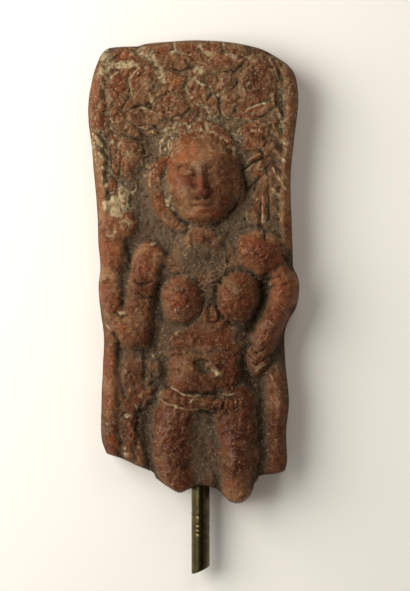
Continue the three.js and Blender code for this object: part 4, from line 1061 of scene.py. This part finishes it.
# Aged brass: drawn rod gone olive brown, with darker tarnish in patches and fine streaks along it that
# stretch its highlight.
brass, tree, shader = start_material("aged_brass")
place = add_node(tree, "ShaderNodeTexCoord", {}).outputs["Object"]
drawn_out = add_node(tree, "ShaderNodeMapping", {"Scale": (1.0, 0.06, 1.0), "Vector": place}).outputs[0]
streaks = add_node(tree, "ShaderNodeTexNoise",
                   {"Scale": 2600.0, "Detail": 4.0, "Vector": drawn_out}).outputs["Fac"]
tarnish = add_node(tree, "ShaderNodeTexNoise",
                   {"Scale": 350.0, "Detail": 4.0, "Roughness": 0.65, "Vector": place}).outputs["Fac"]
colour = linear("#5f5639")
for over, source, first, second, most in [
    ("#4a412b", tarnish, 0.35, 0.65, 1.0), ("#352d1c", streaks, 0.5, 0.75, 0.5),
]:
    amount = add_node(tree, "ShaderNodeMapRange",
                      {"interpolation_type": "SMOOTHSTEP", "From Min": first, "From Max": second,
                       "To Max": most, "Value": source})
    mix = add_node(tree, "ShaderNodeMix",
                   {"data_type": "RGBA", 0: amount.outputs[0], 6: colour, 7: linear(over)})
    colour = mix.outputs[2]
tree.links.new(colour, shader.inputs["Base Color"])
shader.inputs["Metallic"].default_value = 1.0
gloss = add_node(tree, "ShaderNodeMapRange",
                 {"From Min": 0.3, "From Max": 0.7, "To Min": 0.2, "To Max": 0.3, "Value": tarnish})
tree.links.new(gloss.outputs[0], shader.inputs["Roughness"])
bump = add_node(tree, "ShaderNodeBump", {"Strength": 0.25, "Distance": 0.0001, "Height": streaks})
tree.links.new(bump.outputs[0], shader.inputs["Normal"])
rod_mesh.materials.append(brass)

rod = bpy.data.objects.new("mounting_rod_brass", rod_mesh)
bpy.context.scene.collection.objects.link(rod)
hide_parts("mounting_rod")
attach(rod, "root")

# The studio: a sheet of white paper under the part, soft light from a near window on the left and a far
# one above, and the pale room. Its ceiling is dark over the camera, and its walls are brighter on the
# left and on the foot's side.
paper_mesh = bpy.data.meshes.new("paper")
paper_corners = [(-1.5, -1.5, 0), (1.5, -1.5, 0), (1.5, 1.5, 0), (-1.5, 1.5, 0)]
paper_mesh.from_pydata(paper_corners, [], [(0, 1, 2, 3)])
paper_finish, tree, shader = start_material("white_paper")
shader.inputs["Base Color"].default_value = linear("#f2efe8")
shader.inputs["Roughness"].default_value = 0.95
paper_mesh.materials.append(paper_finish)
paper = bpy.data.objects.new("paper", paper_mesh)
bpy.context.scene.collection.objects.link(paper)

scene = bpy.context.scene
scene.view_settings.view_transform = "Standard"
room = bpy.data.worlds.new("room")
scene.world = room
room.use_nodes = True
tree = room.node_tree
direction = add_node(tree, "ShaderNodeTexCoord", {}).outputs["Generated"]
split = add_node(tree, "ShaderNodeSeparateXYZ", {"Vector": direction})
ceiling = add_node(tree, "ShaderNodeMapRange",
                   {"interpolation_type": "SMOOTHSTEP", "From Min": 0.92, "From Max": 0.5,
                    "To Min": 0.05, "To Max": 0.46, "Value": split.outputs["Z"]})
strength = ceiling.outputs[0]
for axis, bright, dark in [("X", 1.3, 0.7), ("Y", 1.5, 0.6)]:
    wall = add_node(tree, "ShaderNodeMapRange",
                    {"From Min": -1.0, "From Max": 1.0, "To Min": bright, "To Max": dark,
                     "Value": split.outputs[axis]})
    lit = add_node(tree, "ShaderNodeMath", {"operation": "MULTIPLY", 0: strength, 1: wall.outputs[0]})
    strength = lit.outputs[0]
tree.links.new(strength, tree.nodes["Background"].inputs["Strength"])
tree.nodes["Background"].inputs["Color"].default_value = (1.0, 0.95, 0.88, 1)

for name, size, energy, place in [
    ("window", 0.36, 2.45, (-0.295, 0.1, 0.262)), ("far_window", 0.2, 0.24, (0.1, 0.24, 0.33)),
]:
    light = bpy.data.lights.new(name, "AREA")
    light.size = size
    light.energy = energy
    light.color = (1.0, 0.98, 0.935)
    lamp = bpy.data.objects.new(name, light)
    scene.collection.objects.link(lamp)
    lamp.location = place
    lamp.rotation_euler = Vector(place).to_track_quat("Z", "Y").to_euler()

# The camera looks straight down on the paper, with the figure upright in a frame of 410 by 591 units.
# Its distance is from the middle of the relief.
picture_width, picture_height = 410, 591
camera_distance, relief_level = 0.4, 0.006
camera = bpy.data.cameras.new("camera")
camera.sensor_fit = "VERTICAL"
camera.sensor_height = 24
camera.lens = camera.sensor_height * camera_distance / (picture_height * unit / 1000)
camera_object = bpy.data.objects.new("camera", camera)
scene.collection.objects.link(camera_object)
camera_x = (picture_width / 2 - centre_line) * unit / 1000
camera_y = (leg_tip - picture_height / 2) * unit / 1000 + low[1] / 1000
camera_object.location = (camera_x, camera_y, camera_distance + relief_level)
scene.camera = camera_object
